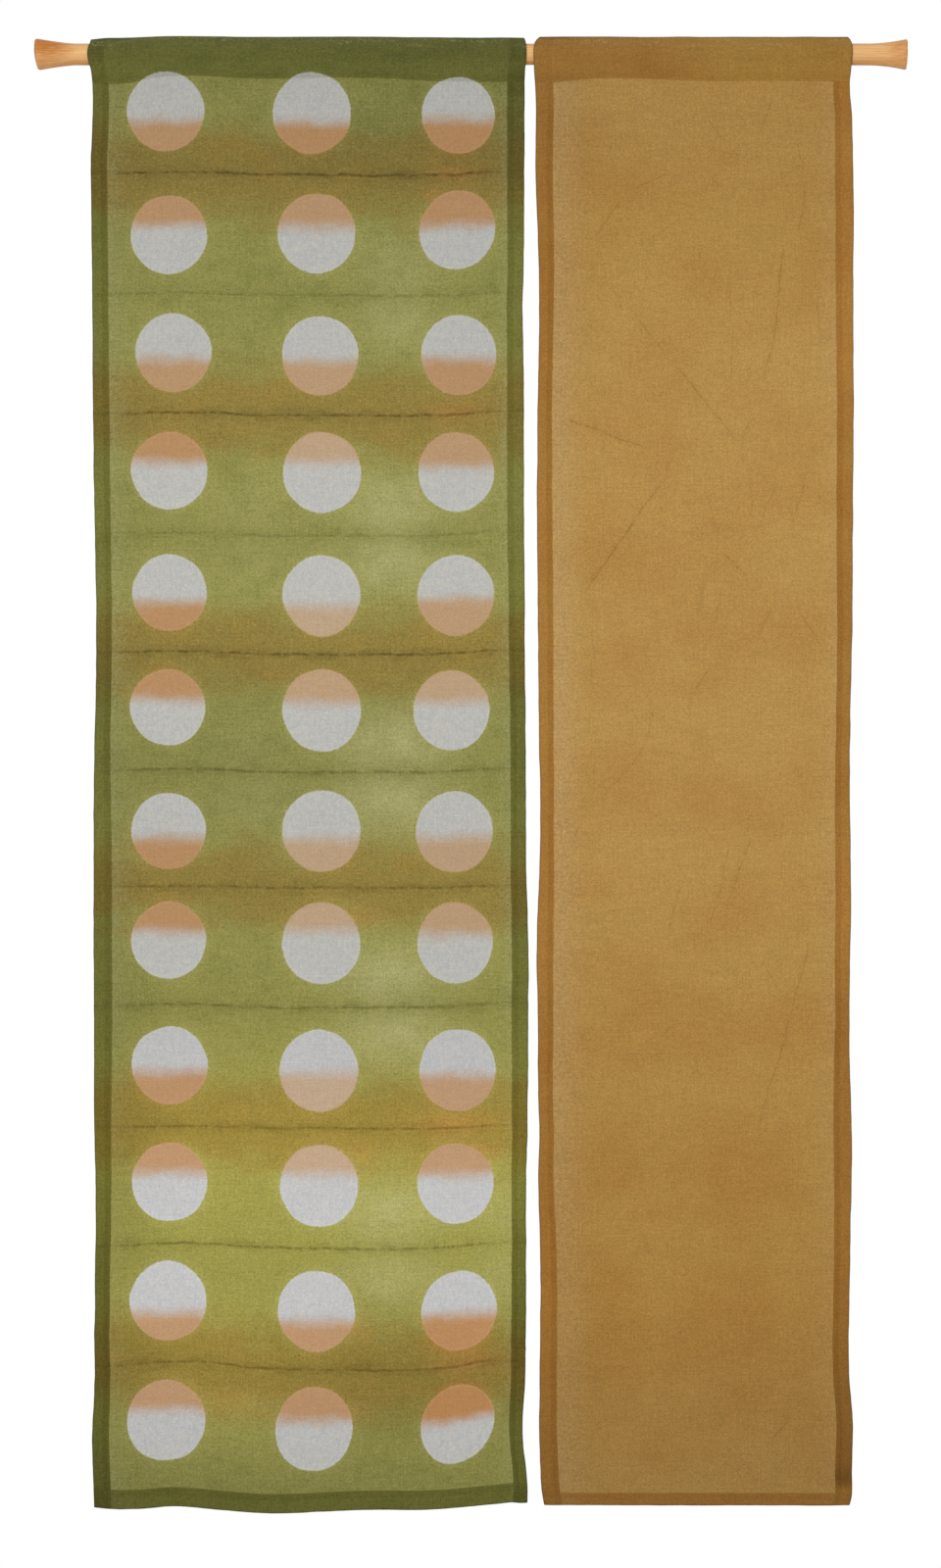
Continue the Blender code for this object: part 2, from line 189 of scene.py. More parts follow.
# How much of that light the side hems keep, on the left and on the right
LEFT_HEM_TONES = table(Edge, (
    (0, 0.96, 1), (9, 1, 0.98), (18, 1.06, 0.9), (25, 1, 0.8), (34, 1, 0.75), (45, 1, 0.9),
    (175, 1.04, 1.08), (415, 1.11, 1.2), (535, 1.14, 1.14), (655, 0.97, 0.87), (775, 1.17, 1),
    (895, 1.06, 0.9), (1015, 1.03, 1.05), (1135, 1.02, 0.94), (1255, 0.72, 0.68), (1375, 0.83, 0.82),
    (1490, 0.68, 0.76),
))
RIGHT_HEM_TONES = table(Edge, (
    (20, 1.04, 1.1), (155, 1.05, 1.17), (275, 1.06, 1.15), (395, 1.07, 1.05), (515, 1.07, 1.02),
    (755, 1.08, 0.99), (875, 1.12, 1.17), (995, 1.06, 1), (1115, 1.06, 1.02), (1235, 1.17, 1.06),
    (1355, 1.09, 0.88), (1440, 1, 0.8), (1450, 1, 0.6), (1456, 0.97, 0.6), (1463, 0.95, 1),
    (1490, 0.93, 1),
))

# Round dots kept white by clamped discs: one row on each side of every strong fold, three dots in a row.
# The small shifts are from the regular grid, dip is where the second bath reached, from a dot's middle,
# weak is how pale that bath came out, and grow is what is added to the radii
DOT_COLUMNS = table(DotColumn, (
    (-309.5, 38.8, 40.1), (-156, 39.9, 41.5), (-14.5, 38.7, 40.9),
))
DOT_TO_FOLD = 60.0
DOT_ROWS = tuple(table(Dot, row) for row in (
    ((-2.5, -3.5, 8, 0.4, 0.9), (-7, -1.5, 9, 0.25, 0), (1, 0.6, 3, 0.2, -2)),
    ((1, 2.4, -8, 0.4, 0.3), (-2, 1, -5, 0.5, -0.4), (-0.3, -2.2, -3, 0.3, -0.5, -0.07)),
    ((5.3, -2, 6, 0.48, 0), (1.8, 1, 5, 0.66, -0.7), (1.8, 0.3, 3, 0.36, -0.3)),
    ((1.3, -1.8, -8, 0.26, -0.2), (3.8, 0, -9, 0.9, 0), (-1.5, -0.5, -4, 0.55, 0)),
    ((1.6, -0.4, 8, 0.26, -1), (3.3, 2.6, 9, 1, -0.3), (-1.2, 2.3, 2, 0.63, 0.2)),
    ((-0.6, -3.2, -8, 0.26, -1.2), (3.4, -0.5, -6, 0.75, 0.5), (-6, 0, -7, 0.85, 0.5)),
    ((0.6, 1, 6, 0.26, -1.1), (3.3, 1.1, 7, 0.9, 0.3), (-2.8, 1.9, 5, 0.8, 0.7)),
    ((0.2, -7.2, -7.8, 0.26, -0.9), (2.7, -4.3, -11, 0.9, 0), (-2.4, -4.7, -8, 0.7, 0)),
    ((1.8, -3, 5, 0.28, -0.3), (0.4, 2.5, 2, 1, 0.3), (0.3, 2, 4, 0.5, 0.8)),
    ((1.2, -4, -7, 0.35, -0.3), (0.4, -0.4, -10, 0.92, 0), (-1.5, -2.7, -7, 0.45, 0)),
    ((0, -5.6, 11, 0.38, 0.5), (-2.3, 4.5, 10.8, 0.36, -0.7), (1.7, 4.6, 2.6, 0.1, -0.5, -0.07)),
    ((-2, -3.5, -9, 0.4, 1.2), (-4.5, 2.7, -6.7, 0.3, -0.7), (0.6, 0, -3, 0, -1.3, -0.16)),
))

# Soft spots: painted glow, paler places above and below the faint folds where more light comes through,
# and spots in the dye where the second bath crept further and left the ground more orange
PAINTED_GLOWS = table(Spot, (
    (-76, 215.5, 46, 32, 0.3), (-76, 273.5, 46, 32, 0.38), (-80, 459.5, 54, 32, 0.62),
    (-80, 519.5, 54, 32, 0.62), (-80, 701.5, 58, 32, 0.78), (-80, 761.5, 58, 32, 0.72),
    (-80, 939.5, 55, 32, 0.66), (-80, 999.5, 55, 32, 0.66), (-84, 1180.5, 55, 32, 0.5),
    (-84, 1248.5, 55, 32, 0.42), (-222, 701.5, 45, 32, 0.1), (-222, 761.5, 45, 32, 0.18),
    (-225, 459.5, 45, 32, 0.1), (-225, 519.5, 45, 32, 0.12), (28, 1180.5, 30, 32, 0.22),
    (28, 1248.5, 30, 32, 0.25),
))
SPREADS = table(Spot, (
    (-16, 120, 36, 10, 0.5), (-37, 144, 14, 12, 0.4), (-16, 364, 40, 17, 0.36), (-341, 656, 15, 9, 0.35),
    (-336, 895, 16, 9, 0.45), (-111, 880, 28, 13, 0.35), (-16, 1092, 40, 15, 0.42),
    (15, 1120, 14, 11, 0.5), (-119, 1125, 22, 16, 0.38), (-119, 1302, 22, 16, 0.46),
    (-2, 1335, 36, 13, 0.62), (-236, 1374, 62, 17, 0.28), (-124, 1382, 26, 13, 0.42),
))

# Wrinkles in the plain cloth: where each starts and ends, across and down, and how strong it is
RIGHT_WRINKLES = (
    (329, 82, 341, 125, 0.7), (341, 129, 335, 187, 0.7), (310, 42, 289, 87, 0.7), (236, 55, 257, 93, 0.6),
    (204, 117, 159, 143, 0.6), (159, 143, 123, 191, 0.7), (211, 167, 174, 193, 0.5),
    (320, 195, 302, 330, 0.9), (264, 207, 264, 337, 0.5), (350, 251, 359, 295, 0.5),
    (159, 256, 201, 307, 0.6), (209, 319, 271, 396, 1), (289, 369, 273, 397, 0.5), (91, 373, 183, 404, 1),
    (204, 402, 196, 432, 0.5), (196, 432, 119, 549, 1), (285, 420, 289, 485, 0.4),
    (340, 430, 327, 485, 0.6), (315, 434, 289, 493, 0.5), (242, 445, 250, 500, 0.6),
    (253, 504, 282, 535, 0.8), (245, 525, 228, 575, 0.5), (260, 539, 244, 587, 0.6),
    (312, 553, 289, 597, 0.5), (328, 553, 359, 605, 0.6), (121, 613, 126, 653, 0.4),
    (247, 621, 220, 663, 0.6), (187, 661, 181, 703, 0.5), (181, 703, 131, 763, 0.5),
    (286, 795, 260, 870, 0.7), (264, 800, 244, 891, 0.5), (215, 845, 199, 898, 0.5),
    (126, 880, 161, 869, 0.5), (347, 902, 326, 975, 0.7), (295, 919, 315, 957, 0.5),
    (326, 975, 293, 1099, 0.7), (213, 983, 190, 1006, 0.4), (100, 1056, 122, 1086, 0.4),
    (175, 1201, 184, 1229, 0.5), (193, 1256, 217, 1278, 0.5), (227, 1346, 218, 1365, 0.5),
    (330, 1384, 300, 1421, 0.7),
)
WRINKLE_FADE = 12.0

# One turned side hem, from its raw edge to the plain cloth: a share of the hem's width and an inset in
# millimetres place it, layer is how many cloths behind the front it lies, cloths is how many the light has
# to pass there, and stack is how many cloths further back the next fold has to go
HEM_STATIONS = table(HemStation, (
    (0.58, 0, 1, 3), (0.78, 0, 1, 3), (1, -0.5, 1, 3), (1, -0.12, 1.2, 3), (1, 0, 1.5, 3),
    (1, -0.12, 1.8, 3), (1, -0.5, 2, 3), (0.78, 0, 2, 3), (0.62, 0, 2, 3), (0.52, 0, 1.5, 2.6),
    (0.42, 0, 1.05, 2.6), (0.2, 0, 1, 2.6), (0, 0.45, 1, 2.6), (0, 0.12, 0.8, 2.6), (0, 0, 0.5, 2.6),
    (0, 0.12, 0.2, 2.6), (0, 0.45, 0, 2.6), (0.2, 0, 0, 2.6), (0.42, 0, 0, 2.6), (0.55, 0, 0, 2.6),
    (0.62, 0, 0, 3), (0.8, 0, 0, 3), (1, -0.5, 0, 3), (1, 0.4, 0, 1, 1.4), (1, 2.6, 0, 1, 0.4),
))

LEFT_PANEL = Panel(
    "left_cloth", "panel_left", "green_cloth", (0.492, 1.59), 0.0195, LEFT_EDGES, LEFT_HEMS, LEFT_TOP,
    LEFT_BOTTOM, LEFT_SEAM, LEFT_CREASES, LEFT_WAVES, LEFT_TONES, LEFT_HEM_TONES, ())
RIGHT_PANEL = Panel(
    "right_cloth", "panel_right", "ochre_cloth", (0.372, 1.58), 0.0125, RIGHT_EDGES, RIGHT_HEMS, RIGHT_TOP,
    RIGHT_BOTTOM, RIGHT_SEAM, RIGHT_CREASES, RIGHT_WAVES, RIGHT_TONES, RIGHT_HEM_TONES, RIGHT_WRINKLES)

# The mesh's rows: close together at a marked fold, and as shares of the pocket's walls and of its roof
FOLD_OFFSETS = (-6.0, -2.6, -1.2, -0.5, 0.0, 0.5, 1.2, 2.6, 6.0)
FOLD_CLEAR = 0.0085
WALL_SHARES = (0.1, 0.25, 0.42, 0.6, 0.8)
ROOF_SHARES = (0.4, 0.75, 0.93)

# Across a panel: the table row that its columns are counted from, both side hems together, and how far
# from a hem's edge the plain cloth starts
WIDTH_ROW = 5
BOTH_HEMS = 0.04
PLAIN_INSET = 0.0026

# What is added to a panel's own seed for the waver of each of its other edges, and the seeds of the puffs
RIGHT_SEED, TOP_SEED, BOTTOM_SEED = 50, 70, 90
PUFF_SEEDS = {"panel_left": 11.0, "panel_right": 37.0}

# How far below the seam the slow waves have their full height, and the ridge of a fold: height and reach
WAVES_FULL = 0.37
RIDGE_HEIGHT = 0.0006
RIDGE_REACH = 0.0011

# How far the rod takes to widen from its neck to its body
NECK_RISE = 0.012

# Where a dot's numbers stand in its row
ACROSS, DOWN, WIDE, TALL, DIP, WEAK, SLANT = range(7)

# Millimetres: a dot's usual radius, two yarns of the weave, and the sewing thread
DOT_RADIUS = 40.0
YARN_PITCH = 0.75
STITCH_INSET, STITCH_PITCH, STITCH_SHARE = 1.4, 3.2, 0.7

# The light that the tucked raw edge of a side hem lets through, in each cloth
GREEN_TUCK = (0.98, 0.97, 0.94)
OCHRE_TUCK = (0.92, 0.90, 0.84)


def dye(red, green, blue):
    """A colour as it is read off the cloth, from 0 to 255, turned into Blender's linear one."""
    shares = (red / 255, green / 255, blue / 255)
    return tuple(s / 12.92 if s <= 0.04045 else ((s + 0.055) / 1.055) ** 2.4 for s in shares)


def size_property(name, description, default):
    return FloatProperty(name=name, description=description, default=default, unit="LENGTH", precision=5)


def colour_property(name, description, default):
    return FloatVectorProperty(
        name=name, description=description, default=default, subtype="COLOR", size=3, min=0.0, max=1.0)


class NorenRodSizes(bpy.types.PropertyGroup):
    length: size_property("Rod length", "Length of the rod over both flared ends", 0.892)
    radius: size_property("Rod radius", "Radius of the rod inside the pockets", 0.0109)
    flare_length: size_property("Flare length", "Length of each flared end", 0.042)
    neck_length: size_property("Neck length", "Length of the bare neck beside each flare", 0.0125)
    end_dome: size_property("End dome", "How far each end face bulges", 0.0015)
    sides: IntProperty(name="Sides", description="Sides of the turned outline", default=96, min=12)


class NorenClothSizes(bpy.types.PropertyGroup):
    thickness: size_property("Cloth thickness", "Thickness of one cloth", 0.0003)
    pitch: size_property("Layer pitch", "Distance from one folded layer to the next", 0.00036)
    column_spacing: size_property("Column spacing", "Width of the mesh's cells across the cloth", 0.0061)
    row_spacing: size_property("Row spacing", "Height of the mesh's cells down the cloth", 0.0056)
    pocket_radius: size_property("Pocket radius", "How far the pocket is from the rod's axis", 0.0122)
    edge_wobble: size_property("Edge wobble", "How far the hand-sewn side edges stray", 0.0006)
    tuck: size_property("Raw edge tuck", "How much of each raw edge is turned under", 0.007)
    front: size_property("Front face", "How far the hanging cloth is from the rod's axis", 0.0006)
    puffing: size_property("Puffing", "How far the loose cloth swells and sinks between its folds", 0.0007)


class NorenLeftDyes(bpy.types.PropertyGroup):
    green: colour_property("Green", "First bath, where it is plain", dye(145, 142, 76))
    deep_green: colour_property("Deep green", "First bath, where it took more", dye(130, 130, 66))
    lime: colour_property("Lime", "First bath in the yellower lower stripes", dye(144, 139, 66))
    brown: colour_property("Brown", "Second bath over the first", dye(140, 122, 58))
    orange: colour_property("Orange brown", "Second bath, where it took more", dye(150, 123, 56))
    deep_brown: colour_property("Deep brown", "Second bath in the yellower lower stripes", dye(141, 121, 50))
    white: colour_property("White", "Cloth kept undyed by the clamped discs", dye(188, 186, 179))
    cool_white: colour_property("Cool white", "Cooler threads of the undyed cloth", dye(181, 181, 178))
    peach: colour_property("Peach", "Second bath on the undyed dots", dye(178, 129, 79))
    pale_peach: colour_property("Pale peach", "Second bath where it was weak", dye(186, 160, 130))
    glow: colour_property("Glow", "Green where more light comes through", dye(176, 172, 117))
    frost: colour_property("Frost", "Pale flecks beside the hems", dye(156, 155, 110))
    two_cloths: colour_property("Two cloths", "Share of the light left by two cloths", (0.65, 0.68, 0.53))
    third_cloth: colour_property("Third cloth", "Share of that left by a third", (0.76, 0.74, 0.62))
    spread: colour_property("Spread", "Ground where the second bath crept further", dye(178, 126, 62))
    green_halo: colour_property("Green halo", "Ground round the dots in the green", dye(164, 160, 92))
    brown_halo: colour_property("Brown halo", "The same in the brown", dye(160, 136, 68))
    orange_halo: colour_property("Orange halo", "The same where that bath was strong", dye(182, 124, 58))
    white_rim: colour_property("White rim", "Edge of the dots where they are white", dye(196, 194, 176))
    peach_rim: colour_property("Peach rim", "Edge of the dots where they are peach", dye(186, 152, 100))
    speck: colour_property("Speck", "Pale specks of the weave", dye(180, 178, 144))
    worn: colour_property("Worn", "Worn flecks along the top", dye(160, 160, 122))
    thread: colour_property("Thread", "Sewing thread", dye(112, 108, 52))


class NorenRightDyes(bpy.types.PropertyGroup):
    ochre: colour_property("Ochre", "Plain dye", dye(178, 140, 76))
    deep_ochre: colour_property("Deep ochre", "Plain dye where it took more", dye(171, 130, 67))
    frost: colour_property("Frost", "Pale strip beside the hems", dye(190, 161, 118))
    two_cloths: colour_property("Two cloths", "Share of the light left by two cloths", (0.90, 0.86, 0.64))
    brown_cloths: colour_property("Brown cloths", "The same in the hems and the left", (0.82, 0.69, 0.505))
    third_cloth: colour_property("Third cloth", "Share of that left by a third", (0.90, 0.87, 0.83))
    speck: colour_property("Speck", "Pale specks of the weave", dye(204, 172, 112))
    worn: colour_property("Worn", "Worn flecks along the top", dye(188, 164, 118))
    thread: colour_property("Thread", "Sewing thread", dye(150, 106, 52))


class NorenWoodColours(bpy.types.PropertyGroup):
    pale: colour_property("Pale wood", "Wood between the grain lines", dye(232, 190, 134))
    dark: colour_property("Dark wood", "Grain lines", dye(212, 152, 90))
    # Browner wood near the ends, and also the painted shade along the rod's top edge and underside
    stain_and_shade: colour_property("Stained wood", "Browner wood near the ends", dye(186, 114, 48))


class NorenStudio(bpy.types.PropertyGroup):
    camera_distance: size_property("Camera distance", "From the camera to the cloth", 14.0)
    view_height: size_property("View height", "Height of the cloth's plane that the camera sees", 1.6)
    view_across: size_property("View across", "Where across the camera looks", -0.001)
    view_up: size_property("View up", "At what height the camera looks", -0.7445)
    floor_height: size_property("Floor height", "Height of the floor below the rod's axis", -1.62)
    floor_radius: size_property("Floor radius", "Radius of the pale floor", 1.15)
    sky: FloatProperty(name="Sky", description="Strength of the even white light", default=0.68, min=0.0)
    key: FloatProperty(name="Key", description="Power of the soft front light", default=170.0, min=0.0)
    fill: FloatProperty(name="Fill", description="Power of the soft light behind", default=120.0, min=0.0)


# Tables and small helpers

def curve_through(rows, key, value, at):
    """Reads a table of millimetres on one smooth curve through its rows, at places in metres."""
    places = np.array([getattr(row, key) for row in rows], float) * MM
    values = np.array([getattr(row, value) for row in rows], float) * MM
    slopes = np.gradient(values, places)
    at = np.clip(at, places[0], places[-1])
    k = np.clip(np.searchsorted(places, at) - 1, 0, len(places) - 2)
    width = places[k + 1] - places[k]
    t = (at - places[k]) / width
    start = (1 + 2 * t) * (1 - t) ** 2 * values[k] + t * (1 - t) ** 2 * width * slopes[k]
    return start + t * t * (3 - 2 * t) * values[k + 1] + t * t * (t - 1) * width * slopes[k + 1]


def straight_through(rows, key, value, at):
    """Reads a table in straight runs between its rows, with its own units and places in metres."""
    places = [getattr(row, key) * MM for row in rows]
    return np.interp(at, places, [getattr(row, value) for row in rows])


def smooth_step(low, high, at):
    t = np.clip((at - low) / (high - low), 0.0, 1.0)
    return t * t * (3 - 2 * t)


def field_noise(x, z, wide, tall, seed):
    """Smooth noise from about -1 to 1 over arrays of places, with blobs of that width and height."""
    flat_x, flat_z = (x / wide).ravel(), (z / tall).ravel()
    values = [noise.noise(Vector((a, b, seed))) for a, b in zip(flat_x, flat_z)]
    return np.array(values).reshape(x.shape)


# The rod

def rod_outline(end, sizes):
    """A turned outline from the middle of an end face to the rod's body: distances from the end and radii."""
    edge_steps, flare_steps = 8, 26
    middle = end.flare_radius - end.edge_radius
    outline = [(0.0, 0.0)]
    for step in range(1, 6):
        share = step / 6
        outline.append((sizes.end_dome * share * share, middle * share))
    for step in range(edge_steps + 1):
        turn = radians(90) * step / edge_steps
        along = sizes.end_dome + end.edge_radius * (1 - cos(turn))
        outline.append((along, middle + end.edge_radius * sin(turn)))
    start = sizes.end_dome + end.edge_radius
    for step in range(1, flare_steps + 1):
        share = step / flare_steps
        along = start + share * (sizes.flare_length - start)
        swell = (end.flare_radius - end.neck_radius) * (1 - share) ** end.flare_curve
        outline.append((along, end.neck_radius + swell))
    outline.append((sizes.flare_length + sizes.neck_length, end.neck_radius))
    for step in range(1, 5):
        share = step / 4
        along = sizes.flare_length + sizes.neck_length + share * NECK_RISE
        outline.append((along, end.neck_radius + (sizes.radius - end.neck_radius) * share))
    return outline


def make_rod(context):
    sizes = context.scene.noren_rod
    half = sizes.length / 2
    left = [(-half + along, radius) for along, radius in rod_outline(LEFT_END, sizes)]
    right = [(half - along, radius) for along, radius in rod_outline(RIGHT_END, sizes)]
    body = [(x * MM, sizes.radius) for x in range(-360, 361, 40)]
    bm = bmesh.new()
    outline = [bm.verts.new((x, 0.0, -radius)) for x, radius in left + body + right[::-1]]
    edges = [bm.edges.new(pair) for pair in zip(outline, outline[1:])]
    bmesh.ops.spin(
        bm, geom=outline + edges, cent=(0, 0, 0), axis=(1, 0, 0), dvec=(0, 0, 0),
        angle=2 * pi, steps=sizes.sides, use_merge=True, use_duplicate=False)
    bmesh.ops.remove_doubles(bm, verts=bm.verts, dist=1e-6)
    bmesh.ops.recalc_face_normals(bm, faces=bm.faces)
    for vert in bm.verts:
        end = LEFT_END if vert.co.x < 0 else RIGHT_END
        outwards = -1 if vert.co.x < 0 else 1
        share = max(0.0, 1 - (half - abs(vert.co.x)) / sizes.flare_length)
        vert.co.x += outwards * end.lean * vert.co.z * share
        # Hand turning leaves the wood a hair out of round
        vert.co.y += 0.00012 * sin(vert.co.x * 31)
        vert.co.z += 0.00012 * sin(vert.co.x * 23 + 1)
    rod = finish_mesh("turned_rod", bm, wood_material(context.scene.noren_wood))
    rod.data.shade_smooth()
    rod.data.set_sharp_from_angle(angle=radians(40))
    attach(rod, "root")
    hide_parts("rod")


def finish_mesh(name, bm, material):
    mesh = bpy.data.meshes.new(name)
    bm.to_mesh(mesh)
    bm.free()
    mesh.materials.append(material)
    piece = bpy.data.objects.new(name, mesh)
    bpy.context.scene.collection.objects.link(piece)
    return piece


# The cloth

def panel_columns(panel, sizes):
    """The mesh's columns: share of the width, side (0 left, 1 right), and their hem station or None."""
    edge = panel.edges[WIDTH_ROW]
    inner = max(8, round(((edge.right - edge.left) * MM - BOTH_HEMS) / sizes.column_spacing))
    columns = [(0.0, 0, station) for station in HEM_STATIONS]
    columns += [(k / inner, None, None) for k in range(1, inner)]
    columns += [(1.0, 1, station) for station in HEM_STATIONS[::-1]]
    return columns


def hanging_depths(panel, sizes):
    """Depths of the mesh's rows from the pocket's seam to the top of the bottom hem."""
    seam = panel.seam[0].depth * MM
    hem_top = panel.bottom[0].depth * MM - panel.bottom_hem
    marks = [crease.depth * MM for crease in panel.creases if crease.mark > 0]
    count = round((hem_top - seam - 0.008) / sizes.row_spacing)
    even = np.linspace(seam + 0.004, hem_top - 0.004, count)
    kept = [d for d in even if all(abs(d - mark) > FOLD_CLEAR for mark in marks)]
    near = [mark + offset * MM for mark in marks for offset in FOLD_OFFSETS]
    return [seam + 0.0008, seam + 0.0022] + sorted(kept + near) + [hem_top - 0.0005]


def edge_wobble(depth, seed):
    """How far one hand-sewn edge strays, from about -1 to 1."""
    places = np.arange(-0.02, 1.51, 0.002)
    strays = [noise.noise(Vector((z / 0.034, seed, 0.0))) + 0.5 * noise.noise(Vector((z / 0.011, seed, 5.0)))
              for z in places]
    return np.interp(depth, places, strays)


def side_edges(panel, depth):
    wobble = bpy.context.scene.noren_cloth.edge_wobble
    seed = panel.edges[0].left
    left = curve_through(panel.edges, "depth", "left", depth) + wobble * edge_wobble(depth, seed)
    right = curve_through(panel.edges, "depth", "right", depth)
    right = right + wobble * edge_wobble(depth, seed + RIGHT_SEED)
    return left, right


def column_places(panel, columns, depth):
    """Where the columns lie across at one depth for each of them."""
    left, right = side_edges(panel, depth)
    hem_left = curve_through(panel.hems, "depth", "left", depth)
    hem_right = curve_through(panel.hems, "depth", "right", depth)
    places = np.zeros(len(columns))
    for k, (share, side, station) in enumerate(columns):
        inner_left = left[k] + hem_left[k] + PLAIN_INSET
        inner_right = right[k] - hem_right[k] - PLAIN_INSET
        if side == 0:
            places[k] = left[k] + station.share * hem_left[k] + station.inset * MM
        elif side == 1:
            places[k] = right[k] - station.share * hem_right[k] - station.inset * MM
        else:
            places[k] = inner_left + share * (inner_right - inner_left)
    return places


def tangent_turn(point_y, point_z, radius, side):
    """The turn round the rod, from straight up towards the back, at which a line from a point touches."""
    far = np.hypot(point_y, point_z)
    towards = np.arctan2(point_y, point_z)
    return towards + side * np.arccos(np.clip(radius / far, -1.0, 1.0))


def pocket_rows(panel, sizes, x, stack):
    """The pocket's cloth from its turned-under raw edge, up the back, over the top and down the front.

    Each row is (y, z, inwards y, inwards z, cloths) with one value for each column.
    """
    pitch, radius = sizes.pitch, sizes.pocket_radius
    front = -sizes.front + sizes.thickness / 2
    left, _ = side_edges(panel, np.zeros_like(x))
    seam_z = -curve_through(panel.seam, "across", "depth", x - left)
    apex = -curve_through(panel.top, "across", "depth", x - left) - sizes.thickness / 2
    apex = apex + 0.6 * sizes.edge_wobble * edge_wobble(x - left, panel.edges[0].left + TOP_SEED)
    one, zero = np.ones_like(x), np.zeros_like(x)
    back_y = front + 2 * pitch + 3 * stack
    back_low = tangent_turn(back_y, seam_z, radius, -1)
    back_high = tangent_turn(zero, apex, radius, 1)
    front_high = tangent_turn(zero, apex, radius, -1)
    front_low = tangent_turn(front * one, seam_z, radius, 1)
    front_low = np.where(front_low > 0, front_low - 2 * pi, front_low)
    back_low = np.where(back_low < 0, back_low + 2 * pi, back_low)
    rows = []

    def add_wall(shares, seam_y, turn):
        """The cloth between the seam and where it first touches the pocket's round."""
        low_y, low_z = radius * np.sin(turn), radius * np.cos(turn)
        for share in shares:
            y, z = seam_y + share * (low_y - seam_y), seam_z + share * (low_z - seam_z)
            cloths = np.where(z < seam_z + sizes.tuck, 2.4, 2.0)
            rows.append((y, z, -np.sin(turn), -np.cos(turn), cloths))

    def add_round(start, end):
        for share in np.linspace(0, 1, 9):
            turn = start + share * (end - start)
            rows.append((radius * np.sin(turn), radius * np.cos(turn), -np.sin(turn), -np.cos(turn), 2 * one))

    def add_roof(shares, turn):
        """The cloth between the pocket's round and its top fold."""
        high_y, high_z = radius * np.sin(turn), radius * np.cos(turn)
        for share in shares:
            y, z = high_y * (1 - share), high_z + share * (apex - high_z)
            rows.append((y, z, -np.sin(turn), -np.cos(turn), 2 * one))

    def behind(z):
        low_y, low_z = radius * np.sin(back_low), radius * np.cos(back_low)
        return back_y + (low_y - back_y) * (z - seam_z) / (low_z - seam_z)

    for share in (1, 0.55, 0.2):
        z = seam_z + share * sizes.tuck
        rows.append((behind(z) - pitch - 2 * stack, z, one, zero, 3 * one))
    for down in (0.0, 0.0009):
        rows.append((front + pitch + stack, seam_z - down, one, zero, 3 * one))
    middle, reach = front + 1.5 * pitch + 2 * stack, (pitch + 2 * stack) / 2
    for turn in (225, 270, 315):
        c, s = cos(radians(turn)), sin(radians(turn))
        rows.append((middle + reach * c, seam_z - 0.001 + reach * s, -c * one, -s * one, 3 * one))
    for down in (0.0009, 0.0):
        rows.append((back_y, seam_z - down, -one, zero, 3 * one))
    add_wall(WALL_SHARES, back_y, back_low)
    add_round(back_low, back_high)
    add_roof(ROOF_SHARES, back_high)
    rows.append((zero, apex - 0.00012, zero, -one, 2 * one))
    add_roof(ROOF_SHARES[::-1], front_high)
    add_round(front_high, front_low)
    add_wall(WALL_SHARES[::-1], front, front_low)
    rows.append((front * one, seam_z, one, zero, 2.4 * one))
    return rows


def bottom_rows(panel, sizes, bottom, stack):
    """The bottom hem's cloth from the front of its fold to its raw edge, in rows as the pocket's."""
    pitch = sizes.pitch
    front = -sizes.front + sizes.thickness / 2
    one, zero = np.ones_like(bottom), np.zeros_like(bottom)
    reach = (2 * pitch + 3 * stack) / 2
    back_y = front + 2 * reach
    top = bottom - panel.bottom_hem
    rows = [(front * one, -(top + 0.0005), one, zero, 3 * one)]
    for share, cloths in ((0.5, 3), (0.96, 3), (1.04, 2.7)):
        rows.append((front * one, -(top + share * sizes.tuck), one, zero, cloths * one))
    for up in (0.002, reach):
        rows.append((front * one, -(bottom - up), one, zero, 2.7 * one))
    for turn in (210, 240, 270, 300, 330):
        c, s = cos(radians(turn)), sin(radians(turn))
        rows.append((front + reach + reach * c, -bottom + reach + reach * s, -c * one, -s * one, 2 * one))
    for up in (reach, 0.002):
        rows.append((back_y, -(bottom - up), -one, zero, 2 * one))
    for share, cloths in ((1.0, 2), (0.5, 3), (0.1, 3)):
        rows.append((back_y, -(top + share * sizes.tuck), -one, zero, cloths * one))
    middle, half_gap = front + 1.5 * pitch + 2 * stack, (pitch + 2 * stack) / 2
    for turn in (0, 45, 90, 135, 180):
        c, s = cos(radians(turn)), sin(radians(turn))
        rows.append((middle + half_gap * c, -top + half_gap * s, -c * one, -s * one, 3 * one))
    for share in (0.5, 0.95):
        rows.append((front + pitch + stack, -(top + share * sizes.tuck), one, zero, 3 * one))
    return rows


def fold_line_drift(panel, x, depth):
    """How far the fold lines wander up and down across the panel, fading out between them."""
    drift = np.zeros_like(x)
    for number, crease in enumerate(panel.creases):
        if crease.mark > 0:
            slow = field_noise(x, np.zeros_like(x), 0.16, 1.0, 3.1 + 5.3 * number)
            quick = field_noise(x, np.zeros_like(x), 0.022, 1.0, 61.7 + 2.9 * number)
            near = 1 - smooth_step(0.002, 0.024, abs(depth - crease.depth * MM))
            own = crease.low + slow * 0.8 + quick * 0.9 * crease.mark
            drift += (curve_through(FOLD_ARCH, "across", "low", x) * crease.arch + own * MM) * near
    return drift


